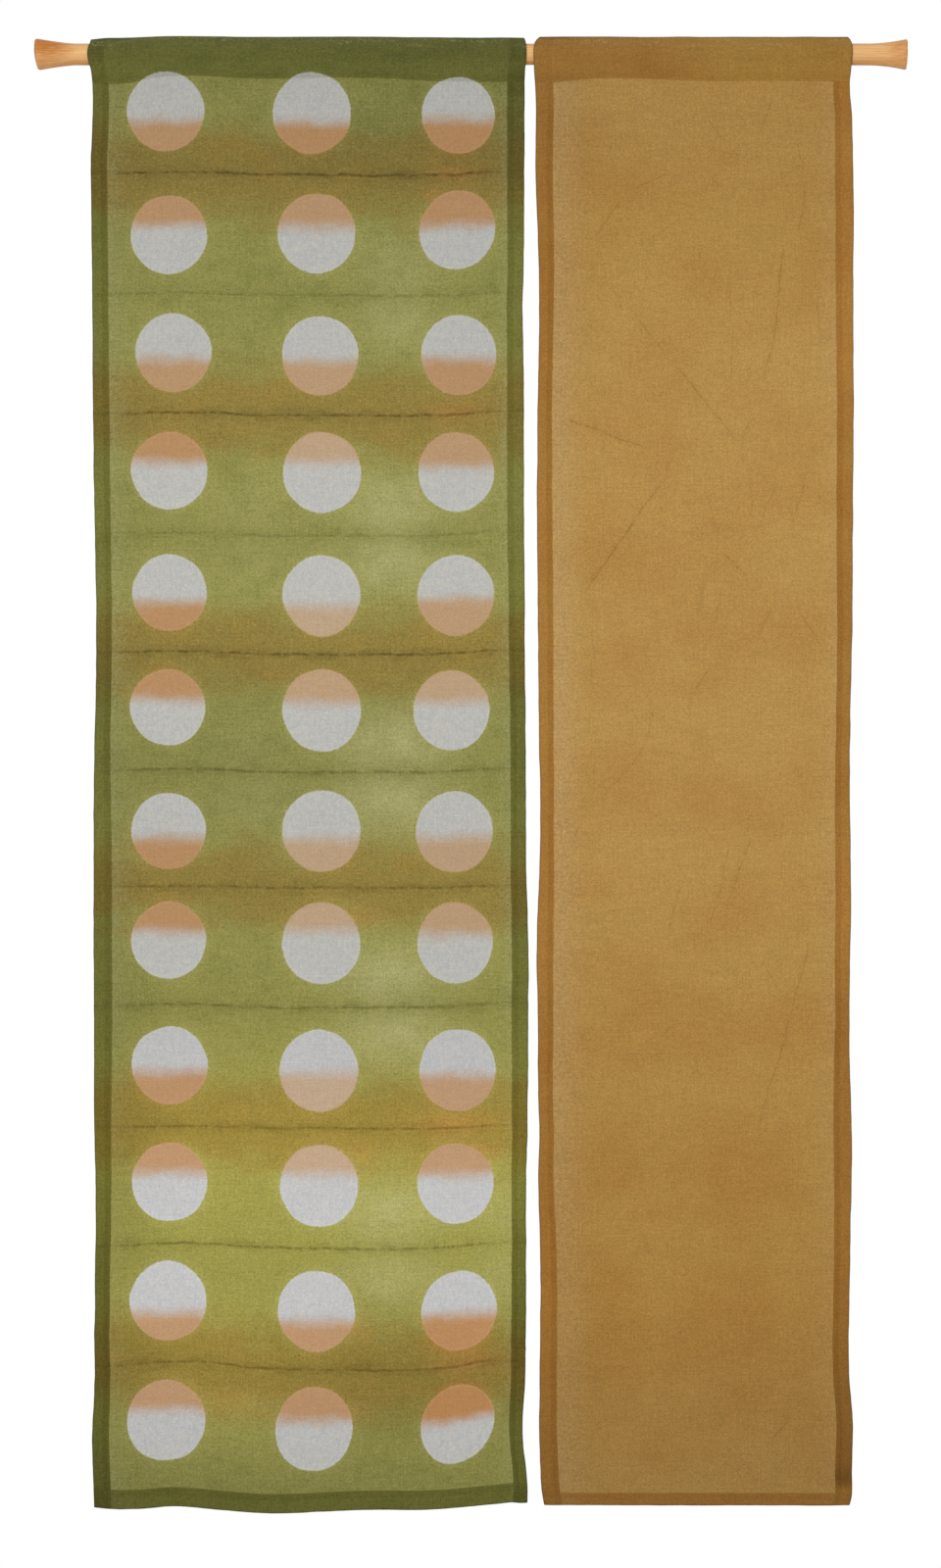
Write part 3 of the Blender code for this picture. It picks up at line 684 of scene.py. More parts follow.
def sway(panel, sizes, x, depth):
    """How far the hanging cloth stands out to the front, from its folds, its waves and its loose puffs."""
    left, right = side_edges(panel, depth)
    bottom = panel.bottom[0].depth * MM
    seam = panel.seam[0].depth * MM
    free = np.clip((depth - seam) / WAVES_FULL, 0.0, 1.0)
    out = np.interp(depth / MM, [c.depth for c in panel.creases], [c.out for c in panel.creases]) * MM
    for wave in panel.waves:
        turns = wave.across * (x - left) / (right - left) + wave.down * depth / bottom
        out = out + wave.out * MM * free * np.sin(2 * pi * turns + radians(wave.phase))
    held = smooth_step(seam, seam + 0.05, depth)
    seed = PUFF_SEEDS[panel.node]
    out = out + sizes.puffing * held * field_noise(x, depth, 0.075, 0.06, seed)
    out = out + 0.35 * sizes.puffing * held * field_noise(x, depth, 0.021, 0.017, seed + 4)
    for crease in panel.creases:
        if crease.mark > 0:
            away = abs(depth - crease.depth * MM)
            sharp = np.exp(-(away / RIDGE_REACH) ** 2)
            breaks = 0.65 + 0.35 * field_noise(x, depth, 0.012, 0.5, seed + crease.depth)
            out = out + np.sign(crease.out) * crease.mark * RIDGE_HEIGHT * sharp * breaks
    return out


def make_grid(columns, rows):
    """A flat grid whose vertices are named by their column and row, for the cloth to be folded from."""
    bm = bmesh.new()
    bmesh.ops.create_grid(bm, x_segments=columns - 1, y_segments=rows - 1, size=0.5)
    column = np.array([round((v.co.x + 0.5) * (columns - 1)) for v in bm.verts])
    row = np.array([round((v.co.y + 0.5) * (rows - 1)) for v in bm.verts])
    return bm, column, row


def fold_panel(panel, sizes):
    """Works out where every column of every row lies, and what the dye and the light find there."""
    columns = panel_columns(panel, sizes)
    layer = np.array([0.0 if s is None else s.layer for _, _, s in columns]) * sizes.pitch
    stack = np.array([0.0 if s is None else s.stack for _, _, s in columns]) * sizes.pitch
    cloths_across = np.array([1.0 if s is None else float(s.cloths) for _, _, s in columns])
    count = len(columns)
    table_bottom = panel.bottom[0].depth * MM
    hem_top = table_bottom - panel.bottom_hem
    front = -sizes.front + sizes.thickness / 2

    at_rod = column_places(panel, columns, np.zeros(count))
    low = column_places(panel, columns, np.full(count, hem_top))
    left_low, _ = side_edges(panel, np.full(count, hem_top))
    bottom = curve_through(panel.bottom, "across", "depth", low - left_low)
    shift = bottom - table_bottom
    bottom = bottom + 0.8 * sizes.edge_wobble * edge_wobble(low - left_low, panel.edges[0].left + BOTTOM_SEED)
    left_rod, _ = side_edges(panel, np.zeros(count))
    seam = curve_through(panel.seam, "across", "depth", at_rod - left_rod)
    lift = panel.seam[0].depth * MM - seam

    points, cloths = [], []
    pocket = pocket_rows(panel, sizes, at_rod, stack)
    for y, z, in_y, in_z, deep in pocket:
        x = column_places(panel, columns, -z)
        points.append(np.stack([x, y + layer * in_y, z + layer * in_z], axis=1))
        cloths.append(deep + 0.45 * (cloths_across - 1))
    for depth in hanging_depths(panel, sizes):
        sag = smooth_step(hem_top - 0.12, hem_top, depth)
        here = depth + sag * shift - (1 - smooth_step(0.028, 0.09, depth)) * lift
        x = column_places(panel, columns, here)
        y = front - sway(panel, sizes, x, np.full(count, depth))
        z = -(here + fold_line_drift(panel, x, np.full(count, depth)))
        points.append(np.stack([x, y + layer, z], axis=1))
        cloths.append(cloths_across.copy())
    low_sway = sway(panel, sizes, low, np.full(count, hem_top))
    for y, z, in_y, in_z, deep in bottom_rows(panel, sizes, bottom, stack):
        x = column_places(panel, columns, -z)
        points.append(np.stack([x, y - low_sway + layer * in_y, z + layer * in_z], axis=1))
        cloths.append(deep * cloths_across)
    points = np.array(points)
    middle = points[:, count // 2]
    steps = np.linalg.norm(np.diff(middle, axis=0), axis=1)
    lengths = np.concatenate([[0.0], np.cumsum(steps)])
    seam_row = len(pocket) - 1
    lengths += panel.seam[0].depth * MM - lengths[seam_row]
    along = np.repeat(lengths[:, None], count, axis=1)
    hanging = slice(seam_row + 1, seam_row + 1 + len(hanging_depths(panel, sizes)))
    along[hanging] = np.array(hanging_depths(panel, sizes))[:, None]
    return points, np.array(cloths), along


def side_distance(panel, x, depth):
    """Millimetres from the nearer side hem's inner edge, less than zero on the hem."""
    left, right = side_edges(panel, depth)
    from_left = x - left - curve_through(panel.hems, "depth", "left", depth)
    from_right = right - curve_through(panel.hems, "depth", "right", depth) - x
    return from_left / MM, from_right / MM


def panel_tone(panel, x, depth, dye_depth):
    """How light the dye came out, down the panel and from its left part to its right part, with painted shade
    over the rod in the pocket.
    """
    left, right = side_edges(panel, depth)
    on_left = 1 - smooth_step(0.025, 0.095, x - left)
    on_right = smooth_step(0.33, 0.68, (x - left) / (right - left))
    level = straight_through(panel.tones, "depth", "level", dye_depth)
    level = level * (1 + on_left * (straight_through(panel.tones, "depth", "left", dye_depth) - 1))
    return level * (1 + on_right * (straight_through(panel.tones, "depth", "right", dye_depth) - 1))


def dot_centres(panel):
    """Each dot's place, two radii, where the second bath reached, how weak it was and how it slants."""
    folds = [crease.depth for crease in panel.creases if crease.out < 0 and crease.mark > 0]
    rows = []
    for number, row in enumerate(DOT_ROWS):
        depth = folds[number // 2] + (DOT_TO_FOLD if number % 2 else -DOT_TO_FOLD)
        rows.append([(column.middle + dot.across, depth + dot.depth, column.wide + 0.7 * dot.grow,
                      column.tall + dot.grow, depth + dot.depth + dot.dip, dot.weak, dot.slant)
                     for column, dot in zip(DOT_COLUMNS, row)])
    return rows


def dip_line(row, x):
    """How far down the second bath reached along one row of dots."""
    places = [dot[ACROSS] + side for dot in row for side in (-30, 30)]
    reached = [dot[DIP] + side * dot[SLANT] for dot in row for side in (-30, 30)]
    return np.interp(x / MM, places, reached)


def dip_distance(rows, x, depth):
    """Millimetres inside the second bath's stripes, less than zero outside them."""
    inside = np.full(x.shape, -200.0)
    for upper, lower in zip(rows[0::2], rows[1::2]):
        above, below = dip_line(upper, x), dip_line(lower, x)
        inside = np.maximum(inside, np.minimum(depth / MM - above, below - depth / MM))
    return inside


def soft_spots(spots, x, depth):
    """The strongest of some soft spots at each place in metres."""
    level = np.zeros_like(x)
    for spot in spots:
        across, down = (x / MM - spot.across) / spot.wide, (depth / MM - spot.depth) / spot.tall
        level = np.maximum(level, spot.share * np.exp(-1.2 * (across ** 2 + down ** 2)))
    return level


def nearest_dots(rows, x, depth):
    """The row of numbers of the dot nearest to each place."""
    dots = np.array([dot for row in rows for dot in row])
    away = np.hypot(x[:, None] / MM - dots[:, ACROSS], depth[:, None] / MM - dots[:, DOWN])
    return dots[np.argmin(away, axis=1)]


def dot_map(rows, middle, x, depth, face):
    """The place from the nearest dot's middle in dot radii, of one dot all over each face."""
    own = nearest_dots(rows, *middle)[face]
    across = x / MM - own[:, ACROSS]
    down = depth / MM - own[:, DOWN] - own[:, SLANT] * across
    return across / own[:, WIDE], down / own[:, TALL]


def wrinkle_map(wrinkles, middle, x, depth, face):
    """The millimetres beside the wrinkle nearest to each face, and its strength there."""
    rows = np.array(wrinkles, float)
    start, along, strength = rows[:, :2], rows[:, 2:4] - rows[:, :2], rows[:, 4]
    length = np.hypot(along[:, 0], along[:, 1])
    along = along / length[:, None]

    def measured(x, depth, own):
        """Millimetres beside a wrinkle's line, and inside its nearer end."""
        across, down = x / MM - start[own, 0], depth / MM - start[own, 1]
        reach = across * along[own, 0] + down * along[own, 1]
        return down * along[own, 0] - across * along[own, 1], np.minimum(reach, length[own] - reach)

    beside, inside = measured(middle[0][:, None], middle[1][:, None], np.arange(len(rows))[None])
    own = np.argmin(abs(beside) + 4 * np.clip(-inside, 0, None), axis=1)[face]
    beside, inside = measured(x, depth, own)
    return beside, strength[own] * np.clip(inside / WRINKLE_FADE, 0, 1)


def put_map(mesh, name, across, down):
    layer = mesh.uv_layers.new(name=name)
    layer.data.foreach_set("uv", np.stack([across, down], axis=1).astype(np.float32).ravel())


def panel_attributes(panel, x, depth, dye_depth, cloths):
    """What the materials read at every vertex, in millimetres or as plain levels, by its name."""
    from_left, from_right = side_distance(panel, x, depth)
    left, right = side_edges(panel, depth)
    top, bottom, seam = (
        curve_through(rows, "across", "depth", x - left) for rows in (panel.top, panel.bottom, panel.seam))
    sides = np.minimum(x - left, right - x)
    hem_tones = [straight_through(panel.hem_tones, "depth", side, depth) for side in ("left", "right")]
    found = {
        "cloths": cloths,
        "from_left_hem": from_left,
        "from_right_hem": from_right,
        "from_seam": (depth - seam) / MM,
        "from_bottom_hem": (bottom - panel.bottom_hem - depth) / MM,
        "from_edge": np.minimum(sides, np.minimum(depth - top, bottom - depth)) / MM,
        "tone": panel_tone(panel, x, depth, dye_depth),
        "warmth": straight_through(panel.tones, "depth", "warmth", dye_depth),
        "hem_tone": np.where(from_left < from_right, *hem_tones),
    }
    marked = [crease for crease in panel.creases if crease.mark > 0]
    if marked:
        away = np.stack([dye_depth / MM - crease.depth for crease in marked])
        nearest = np.argmin(abs(away), axis=0)
        rows = dot_centres(panel)
        found |= {
            "from_fold": np.take_along_axis(away, nearest[None], axis=0)[0],
            "fold_mark": np.array([crease.mark for crease in marked])[nearest],
            "inside_dip": dip_distance(rows, x, dye_depth),
            "dot_tone": straight_through(panel.tones, "depth", "dot", dye_depth),
            "glow": soft_spots(PAINTED_GLOWS, x, dye_depth),
            "spread": soft_spots(SPREADS, x, dye_depth),
            "weak_bath": nearest_dots(rows, x, dye_depth)[:, WEAK],
        }
    return found


def make_panel(context, panel, material):
    sizes = context.scene.noren_cloth
    points, cloths, along = fold_panel(panel, sizes)
    row_count, column_count = cloths.shape
    bm, column, row = make_grid(column_count, row_count)
    piece = finish_mesh(panel.name, bm, material)
    mesh = piece.data
    placed = points[row, column]
    mesh.vertices.foreach_set("co", placed.astype(np.float32).ravel())
    mesh.update()
    mesh.shade_smooth()

    x, depth = placed[:, 0], along[row, column]
    real_depth = np.clip(-placed[:, 2], -0.018, None)
    # The pocket's back and the hems' undersides take the dye of the cloth in front of them
    dye_depth = np.minimum(np.where(depth < 0.09, real_depth, depth), real_depth + 0.004)
    for name, values in panel_attributes(panel, x, real_depth, dye_depth, cloths[row, column]).items():
        attribute = mesh.attributes.new(name, "FLOAT", "POINT")
        attribute.data.foreach_set("value", np.asarray(values, np.float32).ravel())

    corners = np.zeros(len(mesh.loops), int)
    mesh.loops.foreach_get("vertex_index", corners)
    x, depth, dye_depth = x[corners], depth[corners], dye_depth[corners]
    face = np.repeat(np.arange(len(mesh.polygons)), [len(polygon.vertices) for polygon in mesh.polygons])
    put_map(mesh, "cloth", x, depth)
    middle = [np.bincount(face, values) / np.bincount(face) for values in (x, dye_depth)]
    if panel.wrinkles:
        put_map(mesh, "wrinkles", *wrinkle_map(panel.wrinkles, middle, x, dye_depth, face))
    else:
        put_map(mesh, "dots", *dot_map(dot_centres(panel), middle, x, dye_depth, face))

    solid = piece.modifiers.new("thickness", "SOLIDIFY")
    solid.thickness = sizes.thickness
    solid.offset = 0.0
    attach(piece, "root")
    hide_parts(panel.node)


# Materials

class Finish:
    """A material that is put together one small step at a time, with its distances in millimetres."""

    def __init__(self, name):
        self.material = bpy.data.materials.new(name)
        self.material.use_nodes = True
        self.tree = self.material.node_tree
        self.shader = next(node for node in self.tree.nodes if node.type == "BSDF_PRINCIPLED")

    def put(self, socket, value):
        """Links a socket, or sets it to a number, a colour or a place."""
        if isinstance(value, bpy.types.NodeSocket):
            self.tree.links.new(value, socket)
        elif hasattr(value, "__len__"):
            value = tuple(value)
            socket.default_value = value + (1.0,) if socket.type == "RGBA" and len(value) == 3 else value
        else:
            socket.default_value = value

    def node(self, kind, *values, **settings):
        """A new node with its settings, whose first sockets are filled in order."""
        node = self.tree.nodes.new("ShaderNode" + kind)
        for name, value in settings.items():
            setattr(node, name, value)
        for socket, value in zip(node.inputs, values):
            self.put(socket, value)
        return node

    def math(self, operation, *values):
        return self.node("Math", *values, operation=operation).outputs["Value"]

    def chain(self, operation, values):
        """Takes a row of values through one operation, two at a time from the left."""
        result = values[0]
        for value in values[1:]:
            result = self.math(operation, result, value)
        return result

    def times(self, *values):
        return self.chain("MULTIPLY", values)

    def plus(self, *values):
        return self.chain("ADD", values)

    def least(self, *values):
        return self.chain("MINIMUM", values)

    def most(self, *values):
        return self.chain("MAXIMUM", values)

    def rest(self, share):
        return self.math("SUBTRACT", 1.0, share)

    def scaled(self, value, factor, start):
        return self.math("MULTIPLY_ADD", value, factor, start)

    def shift(self, value, reach):
        """Turns 0 to 1 into as much as reach one way or the other."""
        return self.scaled(value, 2 * reach, -reach)

    def around(self, value, amount):
        """Turns 0 to 1 into a level just round 1."""
        return self.scaled(value, 2 * amount, 1 - amount)

    def vector(self, operation, *values):
        node = self.node("VectorMath", *values, operation=operation)
        return node.outputs["Value" if operation == "LENGTH" else "Vector"]

    def step(self, value, low, high, to_low=0.0, to_high=1.0):
        """Goes smoothly from one end to the other as value goes from low to high."""
        node = self.node("MapRange", value, low, high, to_low, to_high, interpolation_type="SMOOTHSTEP")
        return node.outputs["Result"]

    def mix(self, share, first, second, blend="MIX"):
        node = self.node("Mix", data_type="RGBA", blend_type=blend)
        self.put(node.inputs["Factor"], share)
        for name, colour in (("A_Color", first), ("B_Color", second)):
            self.put(next(s for s in node.inputs if s.identifier == name), colour)
        return next(s for s in node.outputs if s.identifier == "Result_Color")

    def shade(self, colour, light):
        return self.mix(1.0, colour, light, "MULTIPLY")

    def tint(self, share, colour, light):
        """Leaves a colour only that much light, over a share of it."""
        return self.mix(share, colour, self.shade(colour, light))

    def noise(self, place, wide, tall, detail=2.0, seed=0.0, rough=0.5):
        """Noise from 0 to 1 over places in millimetres, in blobs of that width and height."""
        spread = self.vector("MULTIPLY", place, (1 / wide, 1 / tall, 1.0))
        place = self.vector("ADD", spread, (seed, 2.7 * seed, 1.3 * seed))
        node = self.node("TexNoise", place, noise_dimensions="3D")
        for name, value in (("Scale", 1.0), ("Detail", detail), ("Roughness", rough)):
            node.inputs[name].default_value = value
        return node.outputs["Fac"]

    def read(self, name):
        """What the mesh's attribute of that name holds."""
        return self.node("Attribute", attribute_name=name).outputs["Fac"]

    def uv(self, name):
        return self.node("UVMap", uv_map=name).outputs["UV"]

    def parts(self, place):
        return self.node("SeparateXYZ", place).outputs

    def in_millimetres(self, place):
        return self.vector("MULTIPLY", place, (1 / MM, 1 / MM, 1 / MM))

    def object_place(self):
        return self.in_millimetres(self.node("TexCoord").outputs["Object"])

    def bump(self, height, strength):
        node = self.node("Bump")
        node.inputs["Strength"].default_value = strength
        node.inputs["Distance"].default_value = MM
        self.put(node.inputs["Height"], height)
        self.put(self.shader.inputs["Normal"], node.outputs["Normal"])

    def surface(self, colour, roughness, specular):
        self.put(self.shader.inputs["Base Color"], colour)
        self.put(self.shader.inputs["Roughness"], roughness)
        self.shader.inputs["Specular IOR Level"].default_value = specular


def cloth_threads(finish, place, amount):
    """The yarns' level, the height of the weave and its slubs, the place's parts and the fine grain."""
    warp = finish.noise(place, 1.5, 30.0, 1.0, 3.0)
    weft = finish.noise(place, 34.0, 1.5, 1.0, 7.0)
    grain = finish.noise(place, 1.9, 1.8, 1.0, 13.0, 0.6)
    knots = finish.noise(place, 5.5, 4.5, 1.0, 17.0)
    uneven = ((warp, 0.25, 0.055), (weft, 0.25, 0.06), (grain, 0.25, 0.20), (knots, 0.3, 0.05))
    level = finish.times(*(
        finish.around(finish.step(yarn, low, 1 - low), share * amount) for yarn, low, share in uneven))
    parts = finish.parts(place)
    across, down = (finish.math("SINE", finish.times(parts[way], pi / YARN_PITCH)) for way in ("X", "Y"))
    height = finish.scaled(finish.times(across, down), 0.05, finish.times(warp, 0.22))
    return level, finish.plus(height, finish.times(weft, 0.22)), parts, grain


def specked(finish, place, colour, amount, dark_light, pale):
    """Adds the dark and the pale specks where the weave is closer or opener."""
    specks = finish.noise(place, 2.6, 2.3, 2.0, 19.0, 0.7)
    colour = finish.tint(finish.times(finish.step(specks, 0.55, 0.74), amount), colour, dark_light)
    return finish.mix(finish.times(finish.step(specks, 0.47, 0.28), 0.30 * amount), colour, pale)


def frosted(finish, colour, strip, side, fleck, least_share, pale):
    """Adds the pale flecks of a strip beside the hems, on the single cloth alone."""
    flecks = finish.step(fleck, 0.62, 0.38, least_share, 0.45)
    single = finish.times(finish.step(side, -0.5, 0.5), finish.step(finish.read("from_seam"), -0.5, 0.5))
    return finish.mix(finish.times(strip, flecks, single), colour, pale)


def stitches(finish, parts):
    """Where the sewing thread shows: along the side hems, under the pocket and over the bottom hem."""
    shown = []
    for name, way in (("from_left_hem", "Y"), ("from_right_hem", "Y"), ("from_seam", "X"),
                      ("from_bottom_hem", "X")):
        away = finish.math("ABSOLUTE", finish.plus(finish.read(name), STITCH_INSET))
        dash = finish.math("FRACT", finish.math("DIVIDE", parts[way], STITCH_PITCH))
        shown.append(finish.times(finish.rest(finish.step(away, 0.15, 0.35)),
                                  finish.math("LESS_THAN", dash, STITCH_SHARE)))
    return finish.most(*shown)


def layered(finish, colour, two, third, tucked_cloth):
    """Darkens a colour where more cloths lie on each other, as less light comes through."""
    cloths, hem_tone = finish.read("cloths"), finish.read("hem_tone")
    # Where the hems are darkest they are also yellowest
    hem_light = finish.node("CombineColor", hem_tone, hem_tone, finish.math("POWER", hem_tone, 1.4))
    near_hem = finish.least(finish.read("from_left_hem"), finish.read("from_right_hem"))
    on_hem = finish.step(near_hem, 0.4, -0.4)
    under_pocket = finish.step(finish.read("from_seam"), -1.0, 1.0)
    tucked = finish.times(on_hem, finish.step(near_hem, -6.6, -5.0), under_pocket)
    lights = ((on_hem, hem_light.outputs["Color"]), (tucked, tucked_cloth),
              (finish.step(cloths, 1.0, 2.0), two), (finish.step(cloths, 2.0, 3.3), third))
    for share, light in lights:
        colour = finish.tint(share, colour, light)
    return colour


def worn_flecks_and_edge_shade(finish, place, colour, pale):
    """Adds worn flecks in loose groups along the pocket's top, and painted shade on the pocket's rolled top
    and in a darker line along the folded edges.
    """
    from_seam = finish.read("from_seam")
    worn = finish.times(finish.step(from_seam, -31.5, -36.0), finish.step(from_seam, -43.5, -41.5))
    groups = finish.step(finish.noise(place, 46.0, 9.0, 1.0, 147.0), 0.42, 0.62)
    flecks = finish.step(finish.noise(place, 3.4, 2.2, 2.0, 141.0, 0.7), 0.50, 0.64, 0.0, 0.32)
    colour = finish.mix(finish.times(worn, groups, flecks), colour, pale)
    # Painted shade where the pocket's top rolls over the rod
    colour = finish.tint(finish.step(from_seam, -42.6, -45.0), colour, (0.70, 0.74, 0.72))
    # Painted shade: a darker line along every folded edge
    line = finish.rest(finish.step(finish.read("from_edge"), 0.3, 1.6))
    return finish.tint(line, colour, (0.58, 0.62, 0.56))


def cloth_surface(finish, colour, level, height, parts, thread, pressed=0.0):
    """Puts the stitches, colour, roughness, sheen and relief together; pressed is how deep creases lie."""
    sewn = stitches(finish, parts)
    colour = finish.mix(finish.times(sewn, 0.35), colour, thread)
    finish.surface(finish.shade(colour, level), finish.step(height, 0.1, 0.3, 0.95, 0.84), 0.15)
    finish.shader.inputs["Sheen Weight"].default_value = 0.08
    finish.shader.inputs["Sheen Roughness"].default_value = 0.5
    sunk = finish.times(finish.plus(sewn, pressed), 0.12)
    finish.bump(finish.math("SUBTRACT", height, sunk), 0.35)
    return finish.material


def fold_lines(finish, place, side):
    """How dark the dyer's folds are: a thin broken line, and a soft smudge on both sides of it."""
    waver = finish.shift(finish.noise(place, 14.0, 300.0, 2.0, 101.0), 1.7)
    away = finish.math("ABSOLUTE", finish.plus(finish.read("from_fold"), waver))
    mark = finish.times(finish.read("fold_mark"), finish.step(side, -3.0, 38.0, 0.35, 1.05))
    broken = finish.step(finish.noise(place, 8.0, 200.0, 2.0, 111.0, 0.7), 0.34, 0.6, 0.4, 1.0)
    line = finish.times(finish.rest(finish.step(away, 0.3, 2.7)), broken)
    smudge = finish.times(finish.rest(finish.step(away, 1.0, 11.0)),
                          finish.step(finish.noise(place, 24.0, 9.0, 2.0, 121.0), 0.3, 0.8))
    return finish.most(finish.times(line, finish.times(mark, 0.66)),
                       finish.times(smudge, finish.times(mark, 0.36)))


def green_ground(finish, place, dyes, grain, brown_share):
    """The first bath, the second bath over it, the painted glow where more light comes through, and the more
    orange places.
    """
    warmth = finish.read("warmth")
    blotch = finish.noise(place, 26.0, 20.0, 3.0, 31.0)
    wide_blotch = finish.noise(place, 62.0, 34.0, 2.0, 41.0)
    green = finish.mix(finish.step(blotch, 0.4, 0.8), dyes.green, dyes.deep_green)
    green = finish.mix(warmth, green, dyes.lime)
    rusty = finish.times(finish.step(wide_blotch, 0.52, 0.72), finish.step(grain, 0.2, 0.6, 0.25, 0.5))
    brown = finish.mix(rusty, finish.mix(warmth, dyes.brown, dyes.deep_brown), dyes.orange)
    ground = finish.mix(brown_share, green, brown)
    # Painted glow: paler green where more light comes through the cloth
    glow = finish.times(finish.read("glow"), finish.step(blotch, 0.3, 0.7, 1.2, 0.8))
    ground = finish.mix(glow, ground, dyes.glow)
    spread = finish.times(finish.read("spread"), finish.step(blotch, 0.3, 0.7, 0.7, 1.2))
    ground = finish.mix(spread, ground, dyes.spread)
    mottle = finish.times(finish.around(blotch, 0.06), finish.around(wide_blotch, 0.05))
    return ground, finish.times(finish.read("tone"), mottle)


def undyed_dot(finish, place, dyes, dip, outside):
    """A dot's white cloth and the second bath's peach on it, with its darker rim."""
    threads = finish.noise(place, 3.4, 5.0, 2.0, 71.0)
    white = finish.mix(finish.step(threads, 0.4, 0.62), dyes.white, dyes.cool_white)
    peach = finish.mix(finish.read("weak_bath"), dyes.peach, dyes.pale_peach)
    drift = finish.shift(finish.noise(place, 24.0, 14.0, 2.0, 91.0), 6.0)
    peach_share = finish.step(finish.plus(dip, drift), -9.0, 11.0)
    dot = finish.mix(peach_share, white, peach)
    rim = finish.times(finish.step(outside, -3.0, -0.6), 0.30)
    dot = finish.mix(rim, dot, finish.mix(peach_share, dyes.white_rim, dyes.peach_rim))
    dot = finish.shade(dot, finish.read("dot_tone"))
    dot = finish.tint(finish.step(finish.read("warmth"), 0.1, 0.7), dot, (0.99, 0.995, 1.06))
    return layered(finish, dot, (0.90, 0.90, 0.88), (0.91, 0.91, 0.89), GREEN_TUCK)


def left_cloth_material(dyes):
    finish = Finish("fold_dyed_green_cloth")
    place = finish.in_millimetres(finish.uv("cloth"))
    level, height, parts, grain = cloth_threads(finish, place, 0.76)
    dip = finish.read("inside_dip")
    drift = finish.shift(finish.noise(place, 52.0, 26.0, 2.0, 21.0), 32.0)
    brown_share = finish.step(finish.plus(dip, drift), -14.0, 36.0)
    ground, tone = green_ground(finish, place, dyes, grain, brown_share)

    left_far, right_far = finish.read("from_left_hem"), finish.read("from_right_hem")
    side = finish.least(left_far, finish.scaled(right_far, 1.5, 2.0))
    fleck = finish.noise(place, 3.0, 3.2, 2.0, 51.0, 0.7)
    ragged = finish.plus(side, finish.shift(fleck, 13.0))
    strip = finish.times(finish.rest(finish.step(ragged, -4.0, 25.0)),
                         finish.step(finish.read("warmth"), 0.0, 1.0, 1.0, 0.35))
    ground = frosted(finish, ground, strip, side, fleck, 0.07, dyes.frost)

    wobble = finish.shift(finish.noise(place, 34.0, 34.0, 1.0, 61.0), 1.7)
    fray = finish.shift(finish.noise(place, 2.4, 2.4, 1.0, 63.0), 0.8)
    from_dot = finish.vector("LENGTH", finish.uv("dots"))
    outside = finish.plus(finish.scaled(from_dot, DOT_RADIUS, -DOT_RADIUS), wobble, fray)
    deep = finish.times(brown_share, finish.step(finish.read("weak_bath"), 0.4, 0.05))
    halo = finish.times(finish.rest(finish.step(outside, -4.0, 13.0)), finish.scaled(deep, 0.16, 0.34))
    ground = finish.mix(halo, ground, finish.mix(
        brown_share, dyes.green_halo, finish.mix(deep, dyes.brown_halo, dyes.orange_halo)))

    ground = specked(finish, place, finish.shade(ground, tone), 0.42, (0.45, 0.48, 0.30), dyes.speck)
    dark = fold_lines(finish, place, finish.least(left_far, right_far))
    ground = finish.tint(dark, ground, (0.45, 0.42, 0.32))
    ground = layered(finish, ground, dyes.two_cloths, dyes.third_cloth, GREEN_TUCK)
    ground = worn_flecks_and_edge_shade(finish, place, ground, dyes.worn)

    in_dot = finish.rest(finish.step(outside, -0.8, 0.8))
    colour = finish.mix(in_dot, ground, undyed_dot(finish, place, dyes, dip, outside))
    level = finish.mix(finish.times(in_dot, 0.45), level, (1.0, 1.0, 1.0))
    return cloth_surface(finish, colour, level, height, parts, dyes.thread)


def wrinkle_shade_and_relief(finish, place):
    """The wrinkles in the plain cloth, for painted shade and relief: a thin broken line in the crease, and a
    soft hollow on both sides of it.
    """
    parts = finish.parts(finish.uv("wrinkles"))
    bend = finish.shift(finish.noise(place, 60.0, 60.0, 1.0, 151.0), 6.0)
    waver = finish.shift(finish.noise(place, 11.0, 11.0, 1.0, 153.0), 1.3)
    away = finish.math("ABSOLUTE", finish.plus(parts["X"], finish.plus(bend, waver)))
    shown = finish.step(finish.noise(place, 9.0, 9.0, 2.0, 157.0), 0.36, 0.58, 0.3, 1.0)
    sharp = finish.times(finish.step(away, 1.3, 0.2), finish.times(shown, parts["Y"]))
    return sharp, finish.times(finish.step(away, 6.0, 0.6), parts["Y"])


